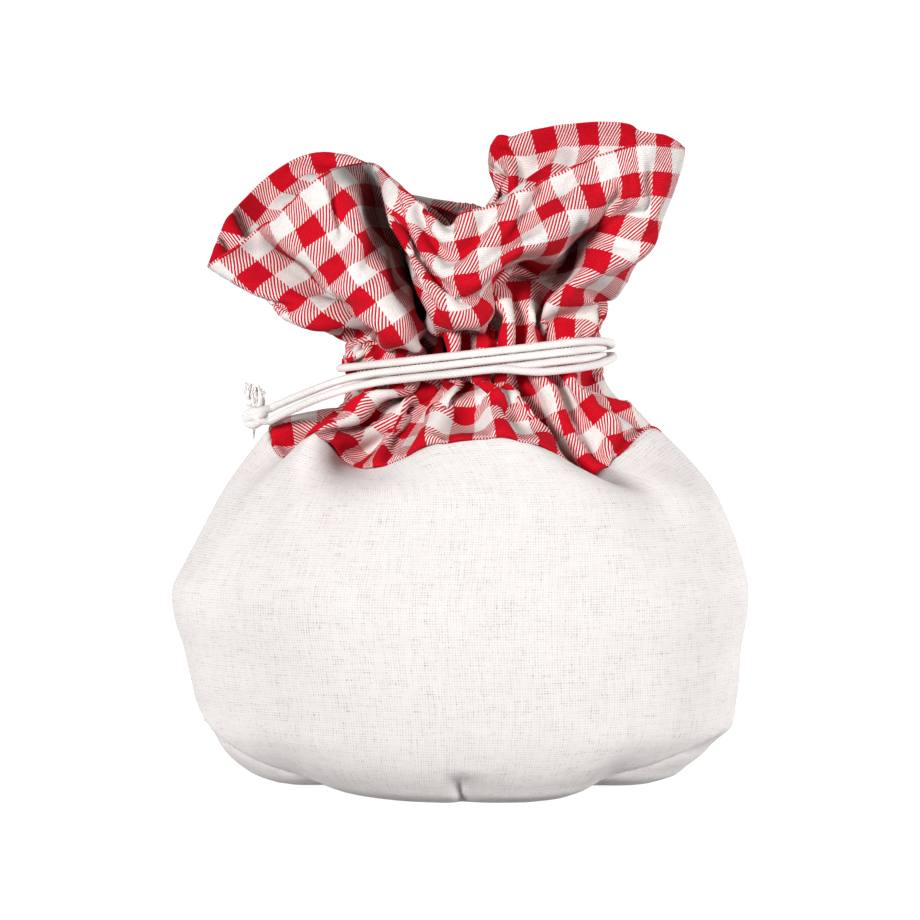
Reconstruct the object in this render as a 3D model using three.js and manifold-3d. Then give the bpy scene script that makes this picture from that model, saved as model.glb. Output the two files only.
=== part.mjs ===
// Potato storage bag: a filled linen pouch with a gingham top, gathered at the neck by a wound cord.
// Millimetres, +Z up. The front faces -Y, the bag stands on z = 0.
import * as THREE from "three";
import Module from "manifold-3d";

// ---------------------------------------------------------------- sizes
const CHECK = 10; // one gingham check
const ROUND = 60 * CHECK; // cloth round the bag
const BAND = 160; // gingham band along the cloth, seam to rim
const NECK_TOP = 100; // rim to the cord's upper edge, along the cloth
const NECK_FOOT = 113; // rim to the cord's lower edge
const SHOULDER_MID = 136; // rim to the middle of the shoulder
const COTTON = 1.2; // gingham, with its turned hem
const LINEN = 1.5;
const CORD = 3.3; // cord diameter
const STRAND = 3.65; // pitch of strands that lie side by side
const GAP = 0.45; // clear space between two pieces

// fine grid on which the gingham settles, and the columns and rows kept for the solid
const COLS = 192;
const ROWS = 54;
const KEEP_EVERY = 2;
const KEEP_ROWS = [0, 5, 10, 14, 18, 22, 28, 34, 40, 47, 53];
const SOFTEN = 3; // passes that round off creases finer than the kept columns

// ---------------------------------------------------------------- tables
// Ruffle, one row for each fold line from rim to neck.
// at: checks round the cloth from the left tip; the rest: [x, y, z] at 0, 20, 40, 60, 80 mm below the rim.
const FOLD_STATIONS = [0, 20, 40, 60, 80];
// prettier-ignore
const FOLDS = [
  // at, rim, high, mid, low, lip
  [0, [-104, -2, 214], [-87, -2, 202], [-70, -5, 192], [-51, -7, 186], [-33, -9, 183]],
  [1.5, [-95, -11, 218], [-80, -13, 209], [-63, -13, 199], [-50, -19, 186], [-41, -17, 185]],
  [3.3, [-81, -17, 227], [-72, -26, 215], [-59, -29, 201], [-40, -30, 194], [-36, -26, 183]],
  [5.1, [-67, -22, 235], [-56, -27, 221], [-49, -36, 206], [-37, -45, 194], [-27, -37, 181]],
  [7.2, [-56, -20, 247], [-46, -19, 230], [-34, -25, 217], [-27, -29, 199], [-12, -31, 187]],
  [8.7, [-50, -7, 253], [-39, -8, 236], [-31, -11, 218], [-24, -15, 201], [-14, -19, 188]],
  [9.9, [-42, 1, 256], [-35, 2, 237], [-31, 1, 217], [-19, -5, 205], [-21, -12, 189]],
  [11.4, [-31, -7, 250], [-30, -8, 234], [-25, -8, 216], [-14, -14, 209], [-9, -11, 191]],
  [13.2, [-24, -20, 242], [-26, -21, 225], [-17, -23, 211], [-15, -22, 195], [-10, -28, 190]],
  [15.3, [-15, -32, 232], [-13, -32, 216], [-14, -41, 203], [-9, -40, 186], [2, -32, 187]],
  [17.4, [2, -35, 231], [4, -44, 215], [6, -46, 200], [8, -49, 186], [7, -36, 191]],
  [19.2, [17, -37, 237], [19, -38, 221], [21, -50, 209], [17, -38, 196], [11, -33, 198]],
  [21.3, [31, -32, 247], [36, -36, 231], [37, -37, 215], [24, -24, 211], [22, -21, 197]],
  [23.4, [50, -27, 255], [55, -32, 237], [47, -21, 225], [38, -10, 212], [30, -18, 197]],
  [25.2, [65, -18, 259], [68, -21, 241], [59, -10, 227], [53, -18, 211], [44, -20, 197]],
  [27.3, [81, -4, 260], [81, -5, 240], [74, -1, 222], [67, -5, 206], [61, -9, 193]],
  [28.8, [93, 3, 260], [91, 6, 240], [85, 7, 221], [72, 8, 205], [58, 3, 192]],
  [31.2, [86, 21, 267], [79, 20, 249], [72, 18, 231], [65, 16, 213], [52, 15, 199]],
  [34.2, [64, 36, 274], [61, 31, 255], [57, 28, 236], [48, 22, 220], [40, 17, 201]],
  [37.2, [37, 48, 271], [38, 45, 252], [37, 36, 234], [34, 23, 218], [32, 19, 199]],
  [39.3, [17, 53, 265], [18, 42, 251], [18, 38, 232], [17, 34, 213], [28, 35, 197]],
  [41.1, [17, 64, 258], [18, 50, 244], [11, 46, 230], [16, 34, 217], [17, 25, 199]],
  [43.5, [6, 56, 241], [8, 58, 228], [9, 46, 215], [9, 34, 212], [9, 33, 194]],
  [46.2, [-15, 50, 240], [-14, 53, 234], [-7, 41, 225], [-9, 38, 207], [-4, 35, 191]],
  [49.2, [-40, 52, 256], [-33, 41, 248], [-25, 43, 233], [-19, 38, 215], [-17, 31, 196]],
  [52.2, [-68, 46, 260], [-56, 38, 248], [-45, 34, 231], [-38, 26, 214], [-30, 20, 196]],
  [54.6, [-85, 34, 247], [-72, 28, 237], [-57, 23, 225], [-42, 18, 212], [-36, 17, 193]],
  [57.3, [-95, 15, 232], [-83, 17, 217], [-67, 12, 209], [-51, 9, 200], [-40, 9, 189]],
];
// Neck pleats at the front, ridges and valleys in turn. at: checks round the cloth; x, y: place on the neck's plane.
// prettier-ignore
const PLEATS = [
  // at, x, y
  [1.0, -46, -4],
  [2.0, -42, -2],
  [3.0, -37, -18],
  [4.2, -32, -8],
  [5.5, -23, -29],
  [7.4, -15, -9],
  [9.3, -11, -17],
  [11.2, -8, -6],
  [13.7, -4, -35],
  [15.5, 3, -17],
  [17.3, 10, -36],
  [18.5, 14, -20],
  [19.8, 18, -36],
  [21.2, 24, -18],
  [22.6, 29, -34],
  [24.1, 35, -14],
  [25.7, 45, -27],
  [27.1, 50, -7],
  [28.4, 57, -3],
];
const NECK_Z = 177; // height of the cord's upper edge on the axis
const NECK_TILT = 0.095; // rise of the neck's plane to the right
const NECK = { x: 5, wide: 52, deep: 36, inner: 0.58 }; // gathered ring: half width, half depth, valley reach
const BACK_PLEATS = 9;
const FOLD_CLEAR = 2.6; // nearest two folds come, middle to middle
// Shoulder at the front, one row for each hump or valley of the seam. mid: halfway down; seam: at the linen.
// prettier-ignore
const SHOULDER = [
  // at, mid, seam
  [0.2, [-54, -7, 153], [-78, -8, 147]],
  [3.0, [-60, -13, 154], [-70, -26, 136]],
  [5.6, [-51, -31, 158], [-58, -46, 146]],
  [8.4, [-36, -26, 150], [-44, -34, 134]],
  [11.1, [-25, -35, 149], [-33, -55, 133]],
  [14.5, [-3, -46, 151], [-7, -66, 143]],
  [16.8, [12, -50, 161], [14, -68, 145]],
  [19.1, [30, -45, 158], [33, -62, 141]],
  [20.7, [30, -37, 147], [44, -51, 133]],
  [21.9, [37, -29, 146], [48, -40, 125]],
  [23.6, [44, -32, 146], [57, -43, 132]],
  [25.2, [53, -34, 157], [64, -38, 139]],
  [27.0, [62, -22, 154], [77, -22, 148]],
  [28.3, [62, -10, 153], [84, -8, 143]],
];
// seam at the back: half width and depth, with a hump, a flank or a valley in turn
const BACK_SEAM = {
  x: 3.5, y: 2, wide: 82, deep: 62, steps: 12,
  hump: { reach: 1, z: 146 }, flank: { reach: 0.93, z: 141 }, valley: { reach: 0.8, z: 131 },
};
// Pouch, one row for each level: height, left, right, front, back, squareness of the outline.
// Level 0 is the edge of the flat base.
// prettier-ignore
const BODY = [
  // z, left, right, front, back, round
  [0, -78, 81, -53, 51, 2.3],
  [2, -84, 88, -58, 56, 2.3],
  [6, -91, 94, -62, 60, 2.3],
  [12, -98, 102, -66, 64, 2.3],
  [20, -104, 109, -69, 67, 2.3],
  [36, -108, 113, -72, 71, 2.25],
  [58, -113, 115, -74, 73, 2.2],
  [80, -118, 118, -74, 73, 2.2],
  [100, -109, 113, -73, 72, 2.2],
  [125, -95, 102, -71, 70, 2.2],
];
const BODY_LEVELS = [0, 3, 10, 24, 52, 82, 104, 122];
// Linen folds under the seam: place in checks, half width in checks, depth at the top and lower down.
const SOFT_FOLDS = [
  [3.0, 1.6, 6, 3],
  [8.6, 1.4, 4, 0.5],
  [21.9, 1.7, 8, 4],
  [38.9, 1.8, 7, 2],
  [49.4, 1.8, 7, 2],
];
// Base creases: place at the foot and at the head in checks, height, depth, width, side of the lower lobe.
const BASE_CREASES = [
  [8.0, 1.8, 30, 5, 2.2, -1],
  [20.2, 25.2, 21, 5.5, 2.4, 1],
  [14.2, 14.0, 12, 3, 0.5, 1],
  [35.5, 32.0, 24, 4, 2.2, -1],
  [54.0, 57.5, 24, 4, 2.2, 1],
];
// Cord windings: bearing (180 left, 270 front, 360 right, 450 back), level from the top strand, layer outwards.
const CORD_Z = 176.3; // height of the top strand on the axis
const CORD_TILT = 0.112;
const CORD_STEP_DEG = 12;
const CORD_SAG = 0.5; // what a straight step of the cord cuts off the round
const CORD_SIDES = 6;
// prettier-ignore
const WOUND_OUT = [
  [219, 1, 0], [300, 1, 0], [365, 1, 0], [455, 1, 0], [520, 0, 0], [560, 0, 0], [725, 0, 0], [770, 0, 0], [795, 0, 1],
];
const BIGHT = [[806, 0.5, 1], [810, 1.5, 1], [806, 2.5, 1]];
// prettier-ignore
const WOUND_BACK = [
  [795, 3, 1], [770, 3, 0], [668, 3, 0], [640, 2, 0], [555, 2, 0], [400, 2, 0], [365, 2, 0], [318, 2, 0], [286, 2, 1], [222, 2, 1],
];
const TIE_UPPER = [[-77, -21, 154.5], [-68, -26, 158.5], [-58, -30, 162.5], [-49, -30, 166]];
const TIE_LOWER = [[-77, -21, 149.5], [-68, -28, 154], [-58, -34, 158.5], [-48, -35, 162]];
// Knot: middle, half sizes of its core, wraps (turn, tilt, radius), free ends from the middle.
const KNOT = {
  at: [-84, -19, 151],
  core: [3.6, 3.6, 4.6],
  wraps: [[20, 70, 4], [80, 35, 4.2]],
  tails: [
    [[0, 0, 2], [-0.5, -1, 6.5], [-1.5, -1.5, 10.5]],
    [[0.5, 0.5, 2], [2.2, 0.5, 6], [4, 0.5, 9]],
    [[0, -0.5, -2], [0.8, -0.5, -6], [0.3, -0.5, -10]],
  ],
};

// ---------------------------------------------------------------- smooth curves through table rows
const add = (a, b, k = 1) => [a[0] + k * b[0], a[1] + k * b[1], a[2] + k * b[2]];
const mix = (a, b, t) => [a[0] + (b[0] - a[0]) * t, a[1] + (b[1] - a[1]) * t, a[2] + (b[2] - a[2]) * t];
const len = (a) => Math.hypot(a[0], a[1], a[2]);
const unit = (a) => { const l = len(a) || 1; return [a[0] / l, a[1] / l, a[2] / l]; };
const cross = (a, b) => [a[1] * b[2] - a[2] * b[1], a[2] * b[0] - a[0] * b[2], a[0] * b[1] - a[1] * b[0]];
const dot = (a, b) => a[0] * b[0] + a[1] * b[1] + a[2] * b[2];

function piece(p0, p1, m0, m1, h, t) {
  const a = 2 * t ** 3 - 3 * t ** 2 + 1, b = (t ** 3 - 2 * t ** 2 + t) * h;
  const c = -2 * t ** 3 + 3 * t ** 2, d = (t ** 3 - t ** 2) * h;
  return p0.map((v, k) => a * v + b * m0[k] + c * p1[k] + d * m1[k]);
}
const slope = (p, q, h) => p.map((v, k) => (q[k] - v) / h);
const lean = (s0, s1, h0, h1) => s0.map((v, k) => (h1 * v + h0 * s1[k]) / (h0 + h1));

// closed curve through points at knots us (period round)
function closedCurve(us, pts, round) {
  const n = us.length;
  const h = us.map((u, k) => (k + 1 < n ? us[k + 1] : us[0] + round) - u);
  const s = us.map((_, k) => slope(pts[k], pts[(k + 1) % n], h[k]));
  const m = us.map((_, k) => lean(s[(k + n - 1) % n], s[k], h[(k + n - 1) % n], h[k]));
  return (u) => {
    const q = ((((u - us[0]) % round) + round) % round) + us[0];
    let k = n - 1;
    while (k > 0 && us[k] > q) k--;
    return piece(pts[k], pts[(k + 1) % n], m[k], m[(k + 1) % n], h[k], (q - us[k]) / h[k]);
  };
}
// open curve through points at rising knots
function openCurve(ds, pts) {
  const n = ds.length;
  const h = ds.slice(1).map((d, k) => d - ds[k]);
  const s = h.map((v, k) => slope(pts[k], pts[k + 1], v));
  const m = pts.map((_, k) => (k > 0 && k < n - 1 ? lean(s[k - 1], s[k], h[k - 1], h[k]) : null));
  const end = (sl, inner) => sl.map((v, k) => 1.5 * v - 0.5 * inner[k]);
  m[0] = end(s[0], n > 2 ? m[1] : s[0]);
  m[n - 1] = end(s[n - 2], n > 2 ? m[n - 2] : s[0]);
  return (d) => {
    let k = n - 2;
    while (k > 0 && ds[k] > d) k--;
    return piece(pts[k], pts[k + 1], m[k], m[k + 1], h[k], (d - ds[k]) / h[k]);
  };
}

// ---------------------------------------------------------------- gingham: loft of the tables, settled to its cut length
const HU = ROUND / COLS;
const HV = BAND / (ROWS - 1);
const at3 = (i, j) => (((i % COLS) + COLS) % COLS * ROWS + j) * 3;

const neckHeight = (x) => NECK_Z + NECK_TILT * x;
const pleats = PLEATS.map(([u, x, y]) => [u, [x, y, neckHeight(x)]]);
for (let k = 1; k < 2 * BACK_PLEATS; k++) {
  const t = k / (2 * BACK_PLEATS), a = Math.PI * t, reach = k % 2 ? NECK.inner : 1;
  const x = NECK.x + NECK.wide * reach * Math.cos(a), y = NECK.deep * reach * Math.sin(a);
  pleats.push([PLEATS[PLEATS.length - 1][0] + (60 + PLEATS[0][0] - PLEATS[PLEATS.length - 1][0]) * t, [x, y, neckHeight(x)]]);
}
const seamRows = SHOULDER.map(([u, mid, seam]) => [u, seam]);
for (let k = 1; k < BACK_SEAM.steps; k++) {
  const t = k / BACK_SEAM.steps, a = Math.PI * t;
  const b = k % 4 === 0 ? BACK_SEAM.valley : k % 2 ? BACK_SEAM.flank : BACK_SEAM.hump;
  const u0 = SHOULDER[SHOULDER.length - 1][0];
  seamRows.push([u0 + (60 - u0) * t, [BACK_SEAM.x + BACK_SEAM.wide * b.reach * Math.cos(a), BACK_SEAM.y + BACK_SEAM.deep * b.reach * Math.sin(a), b.z]]);
}
const byU = (rows) => rows.map(([u, p]) => [(u % 60) * CHECK, p]).sort((a, b) => a[0] - b[0]);
const ring = (rows) => { const r = byU(rows); return closedCurve(r.map((v) => v[0]), r.map((v) => v[1]), ROUND); };
const foot = (p) => [p[0], p[1], p[2] - (NECK_FOOT - NECK_TOP)];

const seamAt = ring(seamRows);
const rings = FOLD_STATIONS.map((_, s) => ring(FOLDS.map((r) => [r[0], r[1 + s]])));
rings.push(ring(pleats), ring(pleats.map(([u, p]) => [u, foot(p)])), seamAt);
const stations = [...FOLD_STATIONS, NECK_TOP, NECK_FOOT, BAND];

const cloth = new Float64Array(COLS * ROWS * 3);
for (let i = 0; i < COLS; i++) {
  const line = openCurve(stations, rings.map((r) => r(i * HU)));
  for (let j = 0; j < ROWS; j++) cloth.set(line(BAND - j * HV), at3(i, j));
}
const goals = [];
const hold = (u, d, p, k) => goals.push([at3(Math.round((u * CHECK) / HU), Math.round((BAND - d) / HV)), p, k]);
FOLDS.forEach((r) => FOLD_STATIONS.forEach((d, s) => hold(r[0], d, r[1 + s], 0.25)));
pleats.forEach(([u, p]) => { hold(u, NECK_TOP, p, 0.15); hold(u, NECK_FOOT, foot(p), 0.15); });
SHOULDER.forEach(([u, mid]) => hold(u, SHOULDER_MID, mid, 0.12));
for (let i = 0; i < COLS; i++) goals.push([at3(i, 0), seamAt(i * HU), 0.9]);

function pull(a, b, rest, k) {
  const x = cloth[b] - cloth[a], y = cloth[b + 1] - cloth[a + 1], z = cloth[b + 2] - cloth[a + 2];
  const l = Math.sqrt(x * x + y * y + z * z) + 1e-9, c = (0.5 * k * (l - rest)) / l;
  cloth[a] += c * x; cloth[a + 1] += c * y; cloth[a + 2] += c * z;
  cloth[b] -= c * x; cloth[b + 1] -= c * y; cloth[b + 2] -= c * z;
}
function fair(k, alongU) {
  const lap = new Float64Array(cloth.length);
  const bend = (src, dst) => {
    for (let i = 0; i < COLS; i++) for (let j = 0; j < ROWS; j++) {
      if (!alongU && (j === 0 || j === ROWS - 1)) continue;
      const o = at3(i, j), p = alongU ? at3(i - 1, j) : o - 3, q = alongU ? at3(i + 1, j) : o + 3;
      for (let c = 0; c < 3; c++) dst[o + c] = 0.5 * (src[p + c] + src[q + c]) - src[o + c];
    }
  };
  bend(cloth, lap);
  const bi = new Float64Array(cloth.length);
  bend(lap, bi);
  for (let o = 0; o < cloth.length; o++) cloth[o] -= k * bi[o];
}
// neighbouring folds that come closer than reach are pushed apart
function keepApart(reach, skip = 3) {
  const n = COLS * ROWS, cells = new Map();
  const key = (x, y, z) => (x * 4096 + y) * 4096 + z;
  const cell = new Int32Array(n * 3);
  for (let p = 0; p < n; p++) {
    for (let c = 0; c < 3; c++) cell[3 * p + c] = Math.floor(cloth[3 * p + c] / reach) + 1000;
    const k = key(cell[3 * p], cell[3 * p + 1], cell[3 * p + 2]);
    if (cells.has(k)) cells.get(k).push(p); else cells.set(k, [p]);
  }
  const move = new Float64Array(n * 3), met = new Float64Array(n);
  for (let p = 0; p < n; p++)
    for (let dx = -1; dx < 2; dx++) for (let dy = -1; dy < 2; dy++) for (let dz = -1; dz < 2; dz++) {
      const list = cells.get(key(cell[3 * p] + dx, cell[3 * p + 1] + dy, cell[3 * p + 2] + dz));
      if (!list) continue;
      for (const q of list) {
        if (q <= p) continue;
        const ip = Math.floor(p / ROWS), iq = Math.floor(q / ROWS);
        let di = Math.abs(ip - iq); di = Math.min(di, COLS - di);
        if (di <= skip && Math.abs((p % ROWS) - (q % ROWS)) <= skip) continue;
        const d = [0, 1, 2].map((c) => cloth[3 * q + c] - cloth[3 * p + c]), l = len(d);
        if (l >= reach) continue;
        const k = (0.25 * (reach - l)) / Math.max(l, 1e-6);
        for (let c = 0; c < 3; c++) { move[3 * p + c] -= k * d[c]; move[3 * q + c] += k * d[c]; }
        met[p]++; met[q]++;
      }
    }
  for (let p = 0; p < n; p++) if (met[p]) for (let c = 0; c < 3; c++) cloth[3 * p + c] += move[3 * p + c] / met[p];
}
function settle(rounds, bending, fairing, ease) {
  const HD = Math.hypot(HU, HV);
  for (let n = 0; n < rounds; n++) {
    for (let e = 0; e < 2; e++) for (let i = e; i < COLS; i += 2) for (let j = 0; j < ROWS; j++) pull(at3(i, j), at3(i + 1, j), HU, 1);
    for (let e = 0; e < 2; e++) for (let i = 0; i < COLS; i++) for (let j = e; j + 1 < ROWS; j += 2) pull(at3(i, j), at3(i, j + 1), HV, 1);
    for (let e = 0; e < 2; e++) {
      for (let i = e; i < COLS; i += 2) for (let j = 0; j + 1 < ROWS; j++) pull(at3(i, j), at3(i + 1, j + 1), HD, 0.25);
      for (let i = e; i < COLS; i += 2) for (let j = 0; j + 1 < ROWS; j++) pull(at3(i, j + 1), at3(i + 1, j), HD, 0.25);
    }
    for (let g = 0; g < 4; g += 2) for (let e = g; e < g + 2; e++) for (let i = e; i < COLS; i += 4) for (let j = 0; j < ROWS; j++) pull(at3(i, j), at3(i + 2, j), 2 * HU, bending);
    for (let g = 0; g < 4; g += 2) for (let e = g; e < g + 2; e++) for (let i = 0; i < COLS; i++) for (let j = e; j + 2 < ROWS; j += 4) pull(at3(i, j), at3(i, j + 2), 2 * HV, bending);
    fair(fairing, true); fair(fairing, false);
    for (const [o, p, k] of goals) { const w = k > 0.5 ? k : k * ease; for (let c = 0; c < 3; c++) cloth[o + c] += w * (p[c] - cloth[o + c]); }
    if (n >= 30 && n % 6 === 0) keepApart(FOLD_CLEAR);
  }
}
settle(350, 0.12, 0.06, 1);
settle(120, 0.2, 0.1, 0.25);
function soften(passes) {
  for (let n = 0; n < passes; n++) {
    const old = cloth.slice();
    for (let i = 0; i < COLS; i++) for (let j = 1; j < ROWS; j++) for (let c = 0; c < 3; c++) {
      const o = at3(i, j) + c;
      cloth[o] = 0.5 * old[o] + 0.25 * (old[at3(i - 1, j) + c] + old[at3(i + 1, j) + c]);
    }
  }
}
soften(SOFTEN);

// ---------------------------------------------------------------- meshes
const point = (a, o) => [a[o], a[o + 1], a[o + 2]];
function meshOf(name, verts, faces, colour, rough) {
  const g = new THREE.BufferGeometry();
  g.setAttribute("position", new THREE.Float32BufferAttribute(verts.flat(), 3));
  g.setIndex(faces.flat());
  g.computeVertexNormals();
  const m = new THREE.Mesh(g, new THREE.MeshStandardMaterial({ color: colour, roughness: rough, side: THREE.FrontSide }));
  m.name = name;
  return m;
}
// unit normals of a ring grid, rows[r][c], outward when rows rise and columns run left, front, right
function gridNormals(rows) {
  const n = rows[0].length;
  return rows.map((row, r) => row.map((p, c) => {
    const e = add(row[(c + 1) % n], row[(c + n - 1) % n], -1);
    const up = add(rows[Math.min(r + 1, rows.length - 1)][c], rows[Math.max(r - 1, 0)][c], -1);
    return unit(cross(e, up));
  }));
}
const KEPT = COLS / KEEP_EVERY;
const column = (c) => c * KEEP_EVERY;
const gRows = KEEP_ROWS.map((j) => Array.from({ length: KEPT }, (_, c) => point(cloth, at3(column(c), j))));
const gNormals = gridNormals(gRows);

// a sheet with two faces and its open edges turned over
function sheet(outer, inner, closeFirst, closeLast) {
  const n = outer[0].length, R = outer.length, verts = [...outer.flat(), ...inner.flat()], faces = [];
  const o = (r, c) => r * n + (c % n), q = (r, c) => R * n + o(r, c);
  for (let r = 0; r + 1 < R; r++) for (let c = 0; c < n; c++) {
    faces.push([o(r, c), o(r, c + 1), o(r + 1, c + 1)], [o(r, c), o(r + 1, c + 1), o(r + 1, c)]);
    faces.push([q(r, c), q(r + 1, c + 1), q(r, c + 1)], [q(r, c), q(r + 1, c), q(r + 1, c + 1)]);
  }
  for (let c = 0; c < n; c++) {
    if (closeFirst) faces.push([o(0, c), q(0, c + 1), o(0, c + 1)], [o(0, c), q(0, c), q(0, c + 1)]);
    if (closeLast) faces.push([o(R - 1, c), o(R - 1, c + 1), q(R - 1, c + 1)], [o(R - 1, c), q(R - 1, c + 1), q(R - 1, c)]);
  }
  return { verts, faces, o, q };
}
const gOuter = gRows.map((row, r) => row.map((p, c) => add(p, gNormals[r][c], COTTON / 2)));
const gInner = gRows.map((row, r) => row.map((p, c) => add(p, gNormals[r][c], -COTTON / 2)));
const gSheet = sheet(gOuter, gInner, true, true);
const gingham = meshOf("gingham_top", gSheet.verts, gSheet.faces, "#c81e38", 0.85);

// ---------------------------------------------------------------- linen pouch
const bodyCurve = openCurve(BODY.map((r) => r[0]), BODY.map((r) => r.slice(1)));
const FRONT_FROM = SHOULDER[0][0] * CHECK, FRONT_TO = SHOULDER[SHOULDER.length - 1][0] * CHECK;
// a level of the pouch: closed outline walked by cloth length, left, front, right, back
function outline(level) {
  const [left, right, front, back, round] = bodyCurve(level), cx = (left + right) / 2, cy = (front + back) / 2, N = 180;
  const arc = (from, deep) => {
    const pts = [];
    for (let k = 0; k <= N; k++) {
      const a = from + (Math.PI * k) / N, ca = Math.cos(a), sa = Math.sin(a), e = 2 / round;
      pts.push([cx + ((right - left) / 2) * Math.sign(ca) * Math.abs(ca) ** e, cy + deep * Math.sign(sa) * Math.abs(sa) ** e]);
    }
    const s = [0];
    for (let k = 1; k <= N; k++) s.push(s[k - 1] + Math.hypot(pts[k][0] - pts[k - 1][0], pts[k][1] - pts[k - 1][1]));
    return (f) => {
      const q = f * s[N];
      let k = 0;
      while (k < N - 1 && s[k + 1] < q) k++;
      const t = (q - s[k]) / (s[k + 1] - s[k]);
      return [pts[k][0] + t * (pts[k + 1][0] - pts[k][0]), pts[k][1] + t * (pts[k + 1][1] - pts[k][1])];
    };
  };
  const f = arc(Math.PI, (back - front) / 2), b = arc(0, (back - front) / 2);
  return (u) => {
    const q = ((u % ROUND) + ROUND) % ROUND;
    if (q >= FRONT_FROM && q <= FRONT_TO) return f((q - FRONT_FROM) / (FRONT_TO - FRONT_FROM));
    return b(((q - FRONT_TO + ROUND) % ROUND) / (ROUND - FRONT_TO + FRONT_FROM));
  };
}
const bell = (x) => Math.exp(-x * x);
const away = (u, at) => { let d = u / CHECK - at; d -= 60 * Math.round(d / 60); return d; };
const ramp = (z, a, b) => Math.min(1, Math.max(0, (z - a) / (b - a)));
// how far the folds pull the linen inwards at cloth position u and height z
function inward(u, z) {
  let d = 0;
  for (const [at, wide, top, low] of SOFT_FOLDS) d += bell(away(u, at) / wide) * (low * ramp(z, 76, 104) + (top - low) * ramp(z, 104, 128));
  for (const [foot_, head, height, deep, wide, side] of BASE_CREASES) {
    const t = z / height;
    if (t > 1.15) continue;
    const s = away(u, foot_ + (head - foot_) * Math.min(t, 1)) * side;
    d += deep * Math.min(1, (1.15 - t) / 0.4) * (s >= 0 ? Math.exp(-s / wide) : bell(s / 0.35));
  }
  return d;
}
const cols = Array.from({ length: KEPT }, (_, c) => column(c) * HU);
const lOuter = [], lNormals = [];
for (const z of BODY_LEVELS) {
  const at = outline(z);
  const row = cols.map((u) => {
    const p = at(u), a = at(u - 4), b = at(u + 4), l = Math.hypot(b[0] - a[0], b[1] - a[1]) || 1, k = inward(u, z);
    return [p[0] - (k * (b[1] - a[1])) / l, p[1] + (k * (b[0] - a[0])) / l, Math.max(z, 0)];
  });
  lOuter.push(row);
}
const seamOut = gOuter[0];
const seamStep = cols.map((_, c) => unit(add(lOuter[lOuter.length - 1][c], seamOut[c], -1)));
lOuter.push(seamOut.map((p, c) => add(p, seamStep[c], GAP)));
const flat = BODY_LEVELS.filter((z) => z <= 0).length;
gridNormals(lOuter).forEach((row, r) => lNormals.push(row.map((n, c) => (r < flat ? [0, 0, -1] : r === lOuter.length - 1 ? gNormals[0][c] : n))));
const lInner = lOuter.map((row, r) => row.map((p, c) => add(p, lNormals[r][c], -LINEN)));
const lSheet = sheet(lOuter, lInner, false, true);
const mean = (row) => row.reduce((a, p) => add(a, p, 1 / row.length), [0, 0, 0]);
const hub = lSheet.verts.push(mean(lOuter[0])) - 1, hubIn = lSheet.verts.push(mean(lInner[0])) - 1;
for (let c = 0; c < KEPT; c++) {
  lSheet.faces.push([hub, lSheet.o(0, c + 1), lSheet.o(0, c)]);
  lSheet.faces.push([hubIn, lSheet.q(0, c), lSheet.q(0, c + 1)]);
}
const pouch = meshOf("linen_pouch", lSheet.verts, lSheet.faces, "#efe9e2", 0.95);

// ---------------------------------------------------------------- tie cord, taut over the pleats
function hullOf(points) {
  const p = [...points].sort((a, b) => a[0] - b[0] || a[1] - b[1]);
  const turn = (o, a, b) => (a[0] - o[0]) * (b[1] - o[1]) - (a[1] - o[1]) * (b[0] - o[0]);
  const half = (list) => { const h = []; for (const q of list) { while (h.length > 1 && turn(h[h.length - 2], h[h.length - 1], q) <= 0) h.pop(); h.push(q); } h.pop(); return h; };
  return [...half(p), ...half(p.reverse())];
}
const strandHeight = (x, level) => CORD_Z + CORD_TILT * x - level * STRAND;
// outline of the gathered cloth that a strand of this level lies on
const hulls = [0, 1, 2, 3].map((level) => {
  const pts = [];
  for (let r = 0; r + 1 < gOuter.length; r++) for (let c = 0; c < KEPT; c++) for (let s = 0; s < 8; s++) for (const e of [0, 1]) {
    const p = mix(mix(gOuter[r][c], gOuter[r + 1][c], s / 8), mix(gOuter[r][(c + 1) % KEPT], gOuter[r + 1][(c + 1) % KEPT], s / 8), e / 2);
    if (Math.abs(p[2] - strandHeight(p[0], level)) < CORD / 2 + 1.4) pts.push(p.slice(0, 2));
  }
  return hullOf(pts);
});
function reachAt(hull, a) {
  const dx = Math.cos(a), dy = Math.sin(a);
  for (let k = 0; k < hull.length; k++) {
    const p = hull[k], q = hull[(k + 1) % hull.length];
    const ex = q[0] - p[0], ey = q[1] - p[1], den = dx * ey - dy * ex;
    if (Math.abs(den) < 1e-9) continue;
    const t = ((p[0] - NECK.x) * ey - p[1] * ex) / den, s = ((p[0] - NECK.x) * dy - p[1] * dx) / den;
    if (t > 0 && s >= 0 && s <= 1) return t;
  }
  return NECK.wide;
}
const easyReach = (level, deg) => { let s = 0; for (let k = -4; k <= 4; k++) s = Math.max(s, reachAt(hulls[level], ((deg + 2 * k) * Math.PI) / 180) - 0.02 * k * k); return s; };
const onNeck = ([deg, level, layer]) => {
  const a = (deg * Math.PI) / 180, low = Math.floor(level), high = Math.ceil(level);
  const r = Math.max(easyReach(low, deg), easyReach(high, deg)) + GAP + CORD_SAG + CORD / 2 + layer * STRAND;
  const x = NECK.x + r * Math.cos(a), y = r * Math.sin(a);
  return [x, y, strandHeight(x, level)];
};
function windings(rows) {
  const pts = [];
  for (let k = 0; k + 1 < rows.length; k++) {
    const [a, b] = [rows[k], rows[k + 1]], n = Math.max(2, Math.round(Math.abs(b[0] - a[0]) / CORD_STEP_DEG));
    for (let s = 0; s < n; s++) { const t = s / n, e = t * t * (3 - 2 * t); pts.push([a[0] + (b[0] - a[0]) * t, a[1] + (b[1] - a[1]) * e, a[2] + (b[2] - a[2]) * e]); }
  }
  pts.push(rows[rows.length - 1]);
  return pts.map(onNeck);
}
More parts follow.
